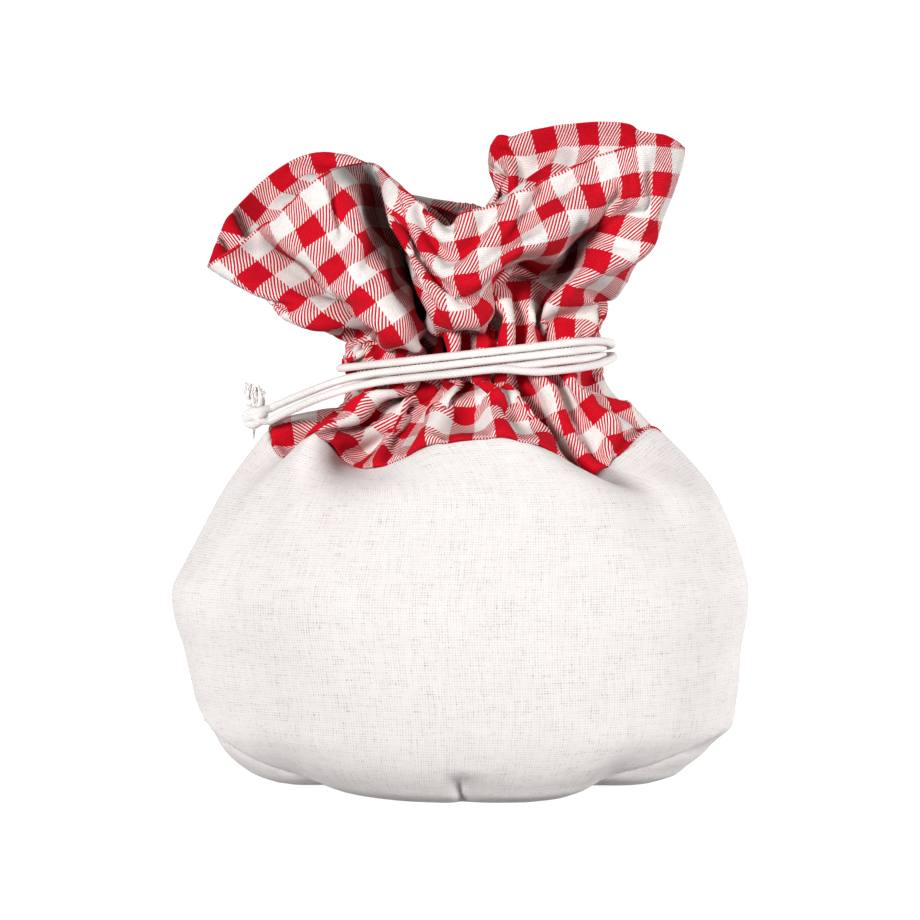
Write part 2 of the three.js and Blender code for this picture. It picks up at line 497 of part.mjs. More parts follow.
const cordLine = [...TIE_UPPER, ...windings(WOUND_OUT), ...BIGHT.map(onNeck), ...windings(WOUND_BACK), ...[...TIE_LOWER].reverse()];
// round tube along a line, with flat ends
function tube(line, radius, sides) {
  const verts = [], faces = [], N = line.length;
  let side = unit(cross(add(line[1], line[0], -1), [0, 0, 1]));
  for (let k = 0; k < N; k++) {
    const t = unit(add(line[Math.min(k + 1, N - 1)], line[Math.max(k - 1, 0)], -1));
    side = unit(add(side, t, -dot(side, t)));
    const other = cross(t, side);
    for (let s = 0; s < sides; s++) {
      const a = (2 * Math.PI * s) / sides;
      verts.push(add(add(line[k], side, radius * Math.cos(a)), other, radius * Math.sin(a)));
    }
  }
  for (let k = 0; k + 1 < N; k++) for (let s = 0; s < sides; s++) {
    const a = k * sides + s, b = k * sides + ((s + 1) % sides), c = a + sides, d = b + sides;
    faces.push([a, b, d], [a, d, c]);
  }
  const first = verts.push(line[0]) - 1, last = verts.push(line[N - 1]) - 1, top = (N - 1) * sides;
  for (let s = 0; s < sides; s++) faces.push([first, (s + 1) % sides, s], [last, top + s, top + ((s + 1) % sides)]);
  return { verts, faces };
}
const cordTube = tube(cordLine, CORD / 2, CORD_SIDES);
const cord = meshOf("tie_cord", cordTube.verts, cordTube.faces, "#f4f1ee", 0.9);

// ---------------------------------------------------------------- knot of the two cord ends
const wasm = await Module();
wasm.setup();
const { Manifold, Mesh } = wasm;
function solid({ verts, faces }) {
  return new Manifold(new Mesh({ numProp: 3, vertProperties: Float32Array.from(verts.flat()), triVerts: Uint32Array.from(faces.flat()) }));
}
const knotParts = [Manifold.sphere(1, 10).scale(KNOT.core).translate(KNOT.at)];
for (const [turn, tilt, ringR] of KNOT.wraps) {
  const line = Array.from({ length: 11 }, (_, k) => {
    const a = (2 * Math.PI * 0.93 * k) / 10;
    const p = new THREE.Vector3(ringR * Math.cos(a), ringR * Math.sin(a), 1.2 * (k / 10 - 0.5)).applyEuler(new THREE.Euler((tilt * Math.PI) / 180, 0, (turn * Math.PI) / 180, "ZXY"));
    return add(KNOT.at, p.toArray());
  });
  knotParts.push(solid(tube(line, CORD / 2 - 0.1, 6)));
}
for (const tail of KNOT.tails) knotParts.push(solid(tube(tail.map((p) => add(KNOT.at, p)), CORD / 2 - 0.2, 6)));
const knotMesh = Manifold.union(knotParts).getMesh();
const kv = [], kf = [];
for (let k = 0; k < knotMesh.numVert; k++) kv.push([...knotMesh.vertProperties.subarray(k * knotMesh.numProp, k * knotMesh.numProp + 3)]);
for (let k = 0; k < knotMesh.triVerts.length; k += 3) kf.push([...knotMesh.triVerts.subarray(k, k + 3)]);
const knot = meshOf("tie_knot", kv, kf, "#f1ece6", 0.9);

const bag = new THREE.Group();
bag.name = "potato_storage_bag";
bag.add(pouch, gingham, cord, knot);
export default bag;
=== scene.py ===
import math
import bpy
import numpy as np
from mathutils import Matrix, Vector


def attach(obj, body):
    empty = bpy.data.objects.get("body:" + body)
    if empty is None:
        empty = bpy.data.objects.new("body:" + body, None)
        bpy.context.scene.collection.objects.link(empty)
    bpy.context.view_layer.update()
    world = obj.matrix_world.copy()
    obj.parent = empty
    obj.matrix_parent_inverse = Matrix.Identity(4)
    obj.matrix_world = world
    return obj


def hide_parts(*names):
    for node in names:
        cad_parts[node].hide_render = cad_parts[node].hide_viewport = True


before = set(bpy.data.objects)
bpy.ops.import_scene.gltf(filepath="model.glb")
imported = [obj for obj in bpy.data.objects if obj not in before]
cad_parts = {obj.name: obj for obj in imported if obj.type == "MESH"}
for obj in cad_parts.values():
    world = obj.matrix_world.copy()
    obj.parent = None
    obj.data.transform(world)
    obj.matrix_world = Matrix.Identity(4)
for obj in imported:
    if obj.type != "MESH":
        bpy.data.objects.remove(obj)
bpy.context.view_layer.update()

MM = 0.001
scene = bpy.context.scene

# ---------------------------------------------------------------- sizes (mm)
CHECK = 10.0
ROUND = 60 * CHECK
BAND = 160.0
NECK_TOP, NECK_FOOT, SHOULDER_MID = 100.0, 112.0, 136.0
COTTON = 1.0
LINEN = 1.4
CORD = 3.2
STRAND = 3.5

# ---------------------------------------------------------------- camera: eye level a little over the bag, long lens
cam = bpy.data.cameras.new("camera")
cam.lens = 129.4
cam.sensor_width = 36.0
cam.clip_start, cam.clip_end = 0.05, 50.0
cam_ob = bpy.data.objects.new("camera", cam)
scene.collection.objects.link(cam_ob)
eye, aim = Vector((0, -1.350, 0.182)), Vector((0, 0, 0.1333))
cam_ob.location = eye
cam_ob.rotation_euler = (aim - eye).to_track_quat("-Z", "Y").to_euler()
scene.camera = cam_ob


# ---------------------------------------------------------------- folds of the gingham
# One row for each fold, one place for each station down from the rim (mm along the cloth). u: checks round the cloth.
STATIONS = [0.0, 12.0, 25.0, 38.0, 50.0, 62.0, 74.0, 86.0]
FOLDS = [
    # u, then x, y, z at each station
    (0, (-104, 0, 213), (-91, -2, 209), (-78, -2, 205), (-74, -10, 198), (-62, -11, 195), (-52, -10, 188), (-43, -9, 181), (-36, -4, 182)),
    (1, (-97, -7, 216), (-89, -10, 208), (-77, -12, 202), (-65, -13, 198), (-61, -21, 191), (-50, -19, 188), (-46, -12, 188), (-45, -7, 179)),
    (1.8, (-93, -11, 219), (-83, -9, 213), (-73, -17, 207), (-64, -20, 200), (-56, -25, 195), (-47, -24, 188), (-41, -15, 184), (-44, -12, 177)),
    (3.1, (-83, -17, 227), (-76, -17, 218), (-65, -16, 212), (-57, -19, 203), (-50, -22, 198), (-41, -24, 195), (-35, -23, 186), (-40, -23, 181)),
    (4.3, (-73, -19, 232), (-67, -23, 223), (-60, -27, 213), (-54, -30, 204), (-45, -32, 199), (-40, -35, 190), (-32, -36, 185), (-31, -31, 178)),
    (5.3, (-67, -24, 237), (-60, -28, 228), (-54, -32, 218), (-47, -35, 209), (-42, -41, 200), (-34, -42, 193), (-27, -45, 184), (-22, -38, 179)),
    (6.3, (-60, -25, 243), (-52, -28, 234), (-46, -28, 222), (-40, -35, 215), (-35, -37, 205), (-27, -41, 197), (-20, -42, 188), (-16, -36, 178)),
    (7.3, (-53, -20, 248), (-49, -19, 237), (-40, -25, 229), (-36, -26, 217), (-29, -31, 210), (-24, -32, 200), (-16, -34, 191), (-14, -29, 182)),
    (8.3, (-51, -11, 251), (-43, -15, 244), (-40, -18, 232), (-32, -19, 222), (-27, -21, 212), (-21, -23, 203), (-19, -24, 192), (-13, -21, 183)),
    (9.2, (-46, -4, 254), (-41, -7, 245), (-39, -8, 232), (-31, -11, 223), (-27, -12, 212), (-20, -14, 202), (-18, -15, 192), (-10, -19, 187)),
    (10.1, (-39, 1, 256), (-36, -1, 245), (-33, -4, 233), (-30, -4, 222), (-24, -4, 212), (-19, -6, 202), (-17, -7, 192), (-10, -11, 186)),
    (11.1, (-34, -6, 253), (-29, -6, 244), (-26, -6, 232), (-24, -8, 220), (-19, -8, 212), (-13, -6, 202), (-14, -4, 190), (-8, -5, 182)),
    (12.3, (-26, -10, 245), (-31, -13, 235), (-23, -18, 229), (-18, -18, 218), (-21, -19, 207), (-14, -16, 197), (-9, -14, 187), (-9, -17, 186)),
    (13.3, (-22, -19, 242), (-23, -18, 230), (-24, -27, 224), (-18, -28, 213), (-17, -29, 204), (-13, -26, 195), (-8, -23, 185), (-10, -26, 188)),
    (14.3, (-15, -23, 236), (-20, -27, 227), (-18, -29, 215), (-17, -37, 210), (-11, -36, 200), (-11, -36, 191), (-9, -32, 186), (-4, -27, 187)),
    (15.3, (-14, -32, 233), (-12, -30, 222), (-13, -36, 212), (-11, -42, 205), (-8, -45, 197), (-6, -42, 186), (-3, -31, 184), (-2, -20, 187)),
    (16.3, (-6, -33, 228), (-6, -37, 220), (-6, -43, 209), (-3, -44, 200), (-1, -52, 194), (2, -46, 185), (5, -34, 187), (6, -23, 187)),
    (17.3, (0, -38, 233), (3, -40, 222), (2, -46, 212), (3, -51, 201), (7, -49, 196), (11, -43, 187), (10, -34, 182), (11, -27, 185)),
    (18.1, (7, -37, 235), (10, -40, 224), (10, -46, 214), (10, -52, 204), (8, -42, 199), (14, -37, 192), (8, -30, 188), (12, -21, 184)),
    (18.8, (14, -37, 237), (15, -43, 227), (16, -45, 215), (16, -49, 208), (11, -39, 204), (14, -31, 196), (8, -27, 194), (16, -24, 189)),
    (19.5, (19, -38, 240), (21, -40, 229), (22, -45, 220), (20, -47, 213), (17, -37, 207), (15, -27, 202), (10, -26, 199), (17, -30, 193)),
    (20.3, (26, -38, 243), (26, -35, 232), (29, -44, 222), (27, -45, 214), (23, -33, 211), (19, -23, 207), (17, -24, 203), (21, -29, 194)),
    (21.3, (32, -31, 247), (35, -35, 236), (38, -43, 227), (36, -39, 215), (31, -30, 210), (27, -19, 208), (23, -17, 204), (23, -21, 193)),
    (22.2, (40, -30, 250), (43, -33, 240), (45, -37, 229), (41, -35, 218), (39, -25, 210), (33, -16, 205), (30, -18, 202), (29, -26, 194)),
    (22.9, (46, -27, 253), (49, -32, 243), (51, -34, 230), (45, -27, 222), (42, -20, 214), (37, -11, 208), (33, -14, 198), (27, -22, 191)),
    (23.6, (52, -25, 255), (54, -27, 244), (55, -29, 233), (49, -22, 225), (45, -14, 217), (43, -12, 209), (36, -16, 201), (31, -24, 193)),
    (24.4, (59, -23, 257), (61, -24, 246), (59, -22, 237), (54, -16, 227), (50, -14, 220), (47, -19, 210), (40, -24, 202), (36, -18, 193)),
    (25.3, (67, -17, 259), (68, -18, 247), (66, -16, 236), (60, -10, 227), (57, -16, 218), (54, -23, 209), (46, -24, 200), (43, -17, 193)),
    (26.3, (74, -11, 260), (74, -10, 248), (74, -9, 235), (69, -11, 225), (66, -14, 215), (59, -16, 207), (53, -13, 199), (53, -16, 191)),
    (27.3, (82, -4, 260), (81, -4, 248), (81, -5, 235), (76, -5, 223), (72, -7, 213), (64, -7, 206), (58, -5, 197), (59, -11, 190)),
    (28.1, (87, 1, 260), (88, 0, 248), (84, 2, 236), (83, -1, 223), (74, 0, 215), (69, -1, 204), (60, 1, 197), (59, -7, 194)),
    (28.8, (93, 5, 260), (92, 5, 248), (90, 6, 235), (84, 6, 223), (78, 6, 213), (69, 5, 206), (59, 1, 203), (54, -3, 195)),
    (29.7, (92, 12, 262), (92, 14, 250), (87, 13, 238), (80, 12, 227), (73, 9, 218), (66, 10, 210), (57, 7, 202), (48, 2, 195)),
    (31.2, (85, 21, 267), (82, 21, 255), (81, 22, 242), (76, 22, 230), (69, 21, 220), (61, 18, 212), (56, 12, 205), (50, 14, 195)),
    (34.2, (63, 34, 273), (63, 36, 261), (60, 31, 250), (57, 25, 238), (53, 22, 227), (48, 19, 217), (42, 17, 207), (36, 16, 196)),
    (37.2, (36, 46, 271), (38, 47, 259), (35, 40, 251), (32, 34, 240), (31, 33, 228), (29, 28, 217), (29, 23, 207), (29, 20, 195)),
    (38.8, (21, 49, 266), (24, 49, 257), (24, 44, 246), (18, 39, 240), (17, 34, 230), (21, 33, 218), (25, 31, 207), (28, 30, 195)),
    (39.7, (16, 52, 264), (16, 53, 256), (19, 49, 246), (13, 46, 239), (18, 42, 229), (21, 40, 218), (24, 38, 206), (26, 36, 194)),
    (40.7, (18, 60, 259), (16, 60, 253), (19, 59, 245), (14, 55, 235), (16, 49, 225), (15, 44, 214), (14, 37, 204), (19, 29, 196)),
    (41.7, (18, 62, 250), (19, 63, 244), (23, 64, 240), (17, 63, 229), (15, 55, 220), (19, 46, 214), (19, 39, 204), (15, 34, 194)),
    (42.9, (14, 60, 238), (17, 64, 234), (17, 63, 231), (15, 58, 228), (18, 53, 217), (14, 50, 208), (11, 43, 201), (15, 41, 190)),
    (44.3, (1, 58, 235), (4, 60, 235), (6, 58, 227), (7, 63, 220), (12, 54, 217), (13, 44, 209), (11, 38, 199), (9, 32, 190)),
    (46.2, (-17, 53, 239), (-15, 57, 237), (-10, 52, 232), (-4, 53, 228), (-2, 48, 219), (-3, 44, 208), (-5, 39, 198), (-6, 33, 188)),
    (49.2, (-42, 51, 254), (-36, 45, 251), (-31, 50, 244), (-27, 43, 234), (-23, 36, 226), (-20, 32, 215), (-19, 29, 203), (-17, 27, 191)),
    (52.2, (-68, 43, 259), (-62, 43, 253), (-54, 37, 245), (-47, 35, 234), (-40, 32, 224), (-34, 28, 214), (-30, 23, 203), (-26, 20, 192)),
    (54.6, (-86, 35, 245), (-78, 32, 239), (-69, 25, 234), (-59, 23, 226), (-53, 23, 215), (-47, 22, 204), (-38, 21, 197), (-32, 19, 188)),
    (57.3, (-96, 15, 232), (-89, 16, 222), (-80, 13, 215), (-69, 7, 213), (-61, 7, 205), (-54, 7, 195), (-46, 8, 188), (-42, 12, 185)),
    (58.9, (-100, 6, 221), (-91, 7, 214), (-81, 1, 210), (-73, 0, 201), (-62, -1, 196), (-52, -5, 193), (-43, -4, 187), (-35, 3, 183)),
]
FOLD_HOLD, FOLD_EASE, FOLD_CLEAR = 0.5, 0.6, 2.3
# Neck pleats at the front, ridges and valleys in turn.
PLEATS = [
    # u, x, y
    (1, -46, -4),
    (2, -42, -2),
    (3, -37, -18),
    (4.2, -32, -8),
    (5.5, -23, -29),
    (7.4, -15, -9),
    (9.3, -11, -17),
    (11.2, -8, -6),
    (13.7, -4, -35),
    (15.5, 3, -17),
    (17.3, 10, -36),
    (18.5, 14, -20),
    (19.8, 18, -36),
    (21.2, 24, -18),
    (22.6, 29, -34),
    (24.1, 35, -14),
    (25.7, 45, -27),
    (27.1, 50, -7),
    (28.4, 57, -3),
]
NECK_Z, NECK_TILT = 177.0, 0.095
NECK = {"x": 5.0, "wide": 52.0, "deep": 36.0, "inner": 0.58}
BACK_PLEATS = 9
# Shoulder at the front, one row for each hump or valley of the seam.
SHOULDER = [
    # u, halfway down, at the linen
    (0.2, (-54, -4, 150), (-78, -8, 147)),
    (3, (-59, -14, 154), (-70, -26, 136)),
    (5.6, (-49, -34, 157), (-58, -46, 146)),
    (8.4, (-34, -31, 150), (-44, -34, 134)),
    (11.1, (-26, -39, 152), (-33, -55, 133)),
    (14.5, (-7, -49, 155), (-7, -66, 143)),
    (16.8, (13, -53, 161), (14, -68, 145)),
    (19.1, (30, -49, 159), (33, -62, 141)),
    (20.7, (32, -39, 150), (44, -51, 133)),
    (21.9, (36, -31, 146), (48, -40, 125)),
    (23.6, (44, -34, 148), (57, -43, 132)),
    (25.2, (52, -36, 157), (64, -38, 139)),
    (27, (61, -22, 158), (77, -22, 148)),
    (28.3, (63, -10, 158), (84, -8, 143)),
]
BACK_SEAM = {"x": 3.5, "y": 2.0, "wide": 82.0, "deep": 62.0, "steps": 12, "hump": (1.0, 146.0), "flank": (0.93, 141.0), "valley": (0.8, 131.0)}
FRONT_FROM, FRONT_TO = SHOULDER[0][0] * CHECK, SHOULDER[-1][0] * CHECK
# Pouch, one row for each level.
BODY = [
    # z, left, right, front, back, squareness
    (0, -78, 81, -53, 51, 2.3),
    (2, -84, 88, -58, 56, 2.3),
    (6, -91, 94, -62, 60, 2.3),
    (12, -98, 102, -66, 64, 2.3),
    (20, -104, 109, -69, 67, 2.3),
    (36, -108, 113, -72, 71, 2.25),
    (58, -113, 115, -74, 73, 2.2),
    (80, -118, 118, -74, 73, 2.2),
    (100, -109, 113, -73, 72, 2.2),
    (125, -95, 102, -71, 70, 2.2),
]
BODY_Z = np.array([r[0] for r in BODY], float)
BODY_ROWS = np.array([r[1:] for r in BODY], float)
# Linen folds under the seam: place, lean, half width in checks, depth at the top and lower down in mm.
SOFT_FOLDS = [
    (3.0, -0.25, 1.6, 6, 3),
    (8.6, 0.0, 1.2, 4, 0.5),
    (21.9, 0.35, 1.7, 8, 4),
    (38.9, 0.1, 1.8, 7, 2),
    (49.4, -0.1, 1.8, 7, 2),
]
# Base creases: place at the foot and at the head, height, depth, width, side of the lower lobe.
BASE_CREASES = [
    (6.3, 1.6, 30, 9, 2.4, -1),
    (20.8, 25.2, 21, 12, 2.4, 1),
    (14.2, 14.0, 12, 5, 0.6, 1),
    (35.5, 32.0, 24, 6, 2.4, -1),
    (54.0, 57.5, 24, 6, 2.4, 1),
]
# Cord: bearing (180 left, 270 front, 360 right, 450 back), level down from the top strand, layer outwards.
CORD_Z, CORD_TILT = 176.3, 0.112
WOUND_OUT = [(219, 1, 0), (300, 1, 0), (365, 1, 0), (455, 1, 0), (520, 0, 0), (560, 0, 0), (686, 0, 0), (700, 0.1, 0.75), (712, 0.6, 1), (724, 0.95, 1), (756, 0.4, 1), (778, -0.5, 1)]
BIGHT = [(790, -0.8, 1), (799, -0.6, 1), (806, 0.2, 1), (809, 1.5, 1), (806, 2.8, 1), (799, 3.6, 1), (790, 3.8, 1)]
WOUND_BACK = [(778, 3.5, 1), (756, 2.6, 1), (724, 2.05, 1), (712, 2.4, 1), (700, 2.9, 0.75), (686, 3, 0), (668, 3, 0), (640, 2, 0), (555, 2, 0), (400, 2, 0), (365, 2, 0), (318, 2, 0), (286, 2, 1), (222, 2, 1)]
TIE_UPPER = [(-77, -21, 154.5), (-68, -26, 158.5), (-58, -30, 162.5), (-49, -30, 166)]
TIE_LOWER = [(-77, -21, 149.5), (-68, -28, 154), (-58, -34, 158.5), (-48, -35, 162)]
# Knot: middle, strands through it, and frays as (root, tip, spread, number), all from the middle.
KNOT = {
    "at": (-82.5, -19.5, 151.5),
    "strands": [
        [(7, -2, 3.5), (2.5, -3.0, 2.6), (-1.8, -2.8, 1.8), (-3.6, 0, 0.6), (-1.8, 2.6, -0.4), (1.5, 2.4, -1.0), (2.9, 0, -1.6), (1.2, -2.8, -2.6), (-1.8, -2.5, -3.2), (-3.2, 0.4, -2.4), (-2.2, 1.8, 0.6), (-1.6, 0.3, 4.0), (-2.2, -0.6, 7.6)],
        [(7, -2, -1.5), (3.0, -2.6, -1.8), (0.6, -3.4, -0.6), (-0.8, -2.8, 2.0), (-0.6, 0.4, 3.4), (0.4, 2.4, 2.2), (0.8, 2.6, -1.0), (0.4, 0.8, -3.2), (0.8, -1.8, -2.8), (1.9, -2.2, 0.4), (2.0, -0.6, 4.0), (2.6, 0.0, 7.0)],
        [(4.6, -1.6, 1.4), (1.2, -3.3, 0.6), (-2.4, -2.6, -0.6), (-3.4, 0.6, -1.2), (-1.0, 2.4, -0.6), (1.8, 1.8, 0.6), (4.2, -0.4, 1.2)],
    ],
    "frays": [
        ((-2.0, -0.6, 5.6), (-2.4, -1.4, 12.0), 1.15, 46),
        ((2.2, 0.0, 5.2), (2.2, -0.4, 10.6), 1.10, 34),
        ((0.2, -0.4, 4.0), (0.0, -0.6, 10.4), 1.15, 30),
        ((-0.6, -1.0, -3.0), (-0.4, -1.0, -8.5), 0.4, 5),
    ],
    # bundles of yarn that still hold together, as (points, radius at the root and at the tip)
    "bundles": [
        ([(-2.0, -0.4, 5.0), (-2.5, -0.8, 7.6), (-2.2, -1.2, 10.4)], (1.9, 1.1)),
        ([(2.2, 0.0, 4.6), (2.5, -0.2, 7.0), (2.1, -0.4, 9.4)], (1.8, 1.0)),
        ([(0.2, -0.2, 4.0), (0.1, -0.3, 6.6), (0.2, -0.4, 9.2)], (1.9, 1.1)),
    ],
}
# Cloth colours and weave. The stripe shifts put the checks where the photo has them.
STRIPE_U, STRIPE_V = 1.7, 1.46
TWILL_U, TWILL_V = 7.4, 4.8
# The darker colour of each pair is painted shade between the yarns, and partly duller yarns at random.
RED_DARK, RED_LIGHT = (0.44, 0.002, 0.012, 1), (0.74, 0.008, 0.034, 1)
WHITE_DARK, WHITE_LIGHT = (0.62, 0.57, 0.55, 1), (0.90, 0.87, 0.85, 1)
YARNS_U, YARNS_V = 16.0, 14.0
LINEN_A, LINEN_B = (0.845, 0.807, 0.797, 1), (0.865, 0.83, 0.82, 1)
# The fleck colour serves also as painted shade between the threads; the hole colour is painted shade seen through the
# openings of the weave.
LINEN_THREAD, LINEN_FLECK_AND_GAP_SHADE, LINEN_HOLE_SHADE = (0.76, 0.71, 0.68, 1), (0.62, 0.57, 0.54, 1), (0.30, 0.255, 0.24, 1)
LINEN_YARNS = 9.8
# The dark cord colour is painted shade in the braid's grooves.
CORD_LIGHT, CORD_GROOVE_SHADE, CORD_WARM = (0.90, 0.875, 0.86, 1), (0.62, 0.58, 0.55, 1), (0.86, 0.81, 0.77, 1)
# Folds drawn out further. A round one is a soft roll, a crease a sharp valley with its two widths (side of fewer checks, side of
# more), a ledge a sharp edge with the cloth under it drawn back. Line (check, mm from the rim), widths (mm), push (mm).
FOLD_LINES = [
    ("deep valley", "crease", [(10.5, -8), (10.9, 25), (11.3, 55), (11.6, 92)], (23, 12), (2, 24, 0)),
    ("ridge right of it", "round", [(12.4, 0), (13.1, 25), (13.9, 50), (14.6, 66)], (7, 7), (0, -4, 0)),
    ("ridge left of it", "crease", [(7.9, -5), (7.7, 25), (6.9, 45), (6.4, 65), (6.3, 80)], (24, 13), (-2, -9, 0)),
    ("edge of the left roll", "ledge", [(3.3, 10), (3.5, 25), (3.6, 45), (3.8, 86)], (6, 6), (5, 13, 2)),
    ("left roll", "round", [(4.3, 10), (4.4, 25), (4.6, 45), (4.9, 80)], (7, 7), (-2, -6, -2)),
    ("left roll lip", "ledge", [(4.4, 86), (5.6, 87), (6.6, 84)], (6, 6), (0, 9, 2)),
    ("left panel belly", "round", [(0.4, 25), (0.8, 52)], (13, 13), (-2, -3, -5)),
    ("left panel lip", "ledge", [(0.0, 62), (1.3, 64), (2.6, 72)], (7, 7), (2, 9, 2)),
    ("right crest", "round", [(18.8, 36), (20.3, 36), (21.3, 34), (22.2, 28)], (7, 7), (0, -4, 2)),
    ("under the right crest", "ledge", [(18.7, 40), (20.3, 40), (21.3, 39), (22.3, 38)], (9, 9), (0, 14, 3)),
    ("edge of the right roll", "ledge", [(24.4, 34), (24.2, 58), (23.9, 84)], (6, 6), (4, 15, 0)),
    ("right roll", "round", [(25.0, 48), (24.9, 70), (24.6, 86)], (8, 8), (-3, -8, 0)),
    ("under the right roll", "ledge", [(24.8, 88), (25.5, 83), (26.3, 77), (27.2, 75)], (6, 6), (0, 9, 3)),
    ("right edge", "round", [(29.2, 32), (29.4, 62)], (14, 26), (-7, 0, 0)),
    ("right panel", "round", [(27.4, 0), (27.2, 34)], (30, 26), (0, -14, 0)),
    ("right tip", "round", [(28.8, 0), (28.8, 12)], (12, 12), (-2.5, 0, 0)),
    ("right end of the neck", "round", [(27.4, 88), (28.6, 92)], (8, 8), (-3, 0, 0)),
    ("back corner", "round", [(39.7, -4), (39.7, 4)], (10, 10), (-1.5, 0, 1)),
    ("back edge", "round", [(39.7, 14), (40.2, 34)], (9, 9), (4, 0, 0)),
    ("front rim", "round", [(17.0, 0), (24.0, 0)], (12, 12), (0, 0, -2)),
    ("left puff of the shoulder", "round", [(5.0, 128), (8.5, 124)], (9, 9), (-2, -6, 3)),
    ("front puff of the shoulder", "round", [(14.5, 124), (16.5, 122), (18.3, 124)], (10, 10), (0, -8, 4)),
    ("right puff of the shoulder", "round", [(22.5, 122), (25.5, 122)], (10, 10), (2, -7, 4)),
    ("left valley of the shoulder", "crease", [(10.6, 114), (8.5, 160)], (9, 9), (0, 9, 0)),
    ("notch in the shoulder", "crease", [(12.9, 112), (12.9, 128)], (7, 7), (0, 8, 0)),
    ("right valley of the shoulder", "crease", [(19.6, 114), (21.7, 160)], (9, 10), (0, 11, 0)),
    ("tongue lip", "round", [(14.9, 55), (16.3, 56), (17.5, 55)], (7, 7), (0, -3, -3)),
    ("under the tongue", "ledge", [(14.6, 60), (16.3, 61), (17.7, 60)], (8, 8), (0, 10, 3)),
]
# painted shade: the cloth's colour is darkened deep in a fold, where no light comes in: (name, line over the cloth in
# (check, mm), (reach to the few-check side, to the other), how dark)
FOLD_SHADES = [
    ("deep valley", [(10.4, 6), (10.7, 28), (11.1, 55), (11.5, 92)], (27, 5), 0.60),
    ("left wall of the valley", [(9.0, 50), (8.8, 66), (8.9, 84)], (21, 16), 0.45),
    ("right valley", [(22.7, 30), (23.2, 44), (23.6, 60), (23.8, 86)], (9, 5), 0.45),
    ("under the left roll", [(3.0, 12), (3.2, 30), (3.3, 50), (3.4, 84)], (11, 5), 0.30),
]
# foot of the linen: (check, mm off the floor); the two corner lobes hang clear, the middle rests
BASE_LIFT = [
    (0.0, 2.5), (3.0, 3.5), (5.3, 4.5), (6.3, 6.4), (7.8, 3.4), (10.5, 0.9), (14.0, 0.0), (18.0, 0.3), (19.8, 2.2),
    (20.8, 5.8), (22.2, 4.6), (25.0, 3.5), (30.0, 2.5), (35.0, 0.5), (40.0, 0.0), (45.0, 0.0), (50.0, 0.0), (55.0, 0.5),
]
WORLD_FRONT, WORLD_BACK = 0.16, 1.05
FLOOR_NEAR, FLOOR_FAR = 0.70, 0.95
CONTRAST, EXPOSURE = 0.85, 0.0
# Lamps: name, place, aimed at, width, power, whether it lights the gingham.
LAMPS = [                     # name, place (m), aimed at, across (m), watts, what it lights
    ("key", (-0.80, -1.60, 0.50), (0, 0, 0.18), 0.45, 38.0, "gingham"),
    ("side", (1.60, -0.60, 0.40), (0, 0, 0.18), 0.6, 20.0, "gingham"),
    ("linen key", (-1.25, -1.20, 0.36), (0, 0, 0.10), 0.5, 28.0, "plain"),
    ("linen side", (1.50, -0.85, 0.30), (0, 0, 0.10), 0.6, 25.5, "plain"),
    ("linen front", (0.25, -1.90, 0.06), (0, 0, 0.05), 0.9, 2.2, "plain"),
]


# ---------------------------------------------------------------- curves through table rows
def closed_curve(us, pts, uq, period):
    us, pts = np.asarray(us, float), np.asarray(pts, float)
    n = len(us)
    ue = np.concatenate([us[-1:] - period, us, us[:2] + period])
    pe = np.concatenate([pts[-1:], pts, pts[:2]])
    h = np.diff(ue)
    w = h.reshape((-1,) + (1,) * (pts.ndim - 1))
    sl = (pe[1:] - pe[:-1]) / w
    m = (w[1:] * sl[:-1] + w[:-1] * sl[1:]) / (w[1:] + w[:-1])
    q = (np.asarray(uq, float) - us[0]) % period + us[0]
    k = np.clip(np.searchsorted(us, q, "right") - 1, 0, n - 1)
    hh = h[k + 1]
    t = ((q - us[k]) / hh).reshape((-1,) + (1,) * (pts.ndim - 1))
    hh = hh.reshape(t.shape)
    return ((2 * t**3 - 3 * t**2 + 1) * pe[k + 1] + (t**3 - 2 * t**2 + t) * hh * m[k]
            + (3 * t**2 - 2 * t**3) * pe[k + 2] + (t**3 - t**2) * hh * m[k + 1])


def open_curve(ds, pts, dq):
    ds, pts = np.asarray(ds, float), np.asarray(pts, float)
    h = np.diff(ds)
    sh = (-1,) + (1,) * (pts.ndim - 1)
    w = h.reshape(sh)
    sl = (pts[1:] - pts[:-1]) / w
    m = np.empty_like(pts)
    m[1:-1] = (w[1:] * sl[:-1] + w[:-1] * sl[1:]) / (w[1:] + w[:-1])
    m[0] = 1.5 * sl[0] - 0.5 * m[1]
    m[-1] = 1.5 * sl[-1] - 0.5 * m[-2]
    k = np.clip(np.searchsorted(ds, dq, "right") - 1, 0, len(ds) - 2)
    t = ((dq - ds[k]) / h[k]).reshape(sh)
    hh = h[k].reshape(sh)
    return ((2 * t**3 - 3 * t**2 + 1) * pts[k] + (t**3 - 2 * t**2 + t) * hh * m[k]
            + (3 * t**2 - 2 * t**3) * pts[k + 1] + (t**3 - t**2) * hh * m[k + 1])


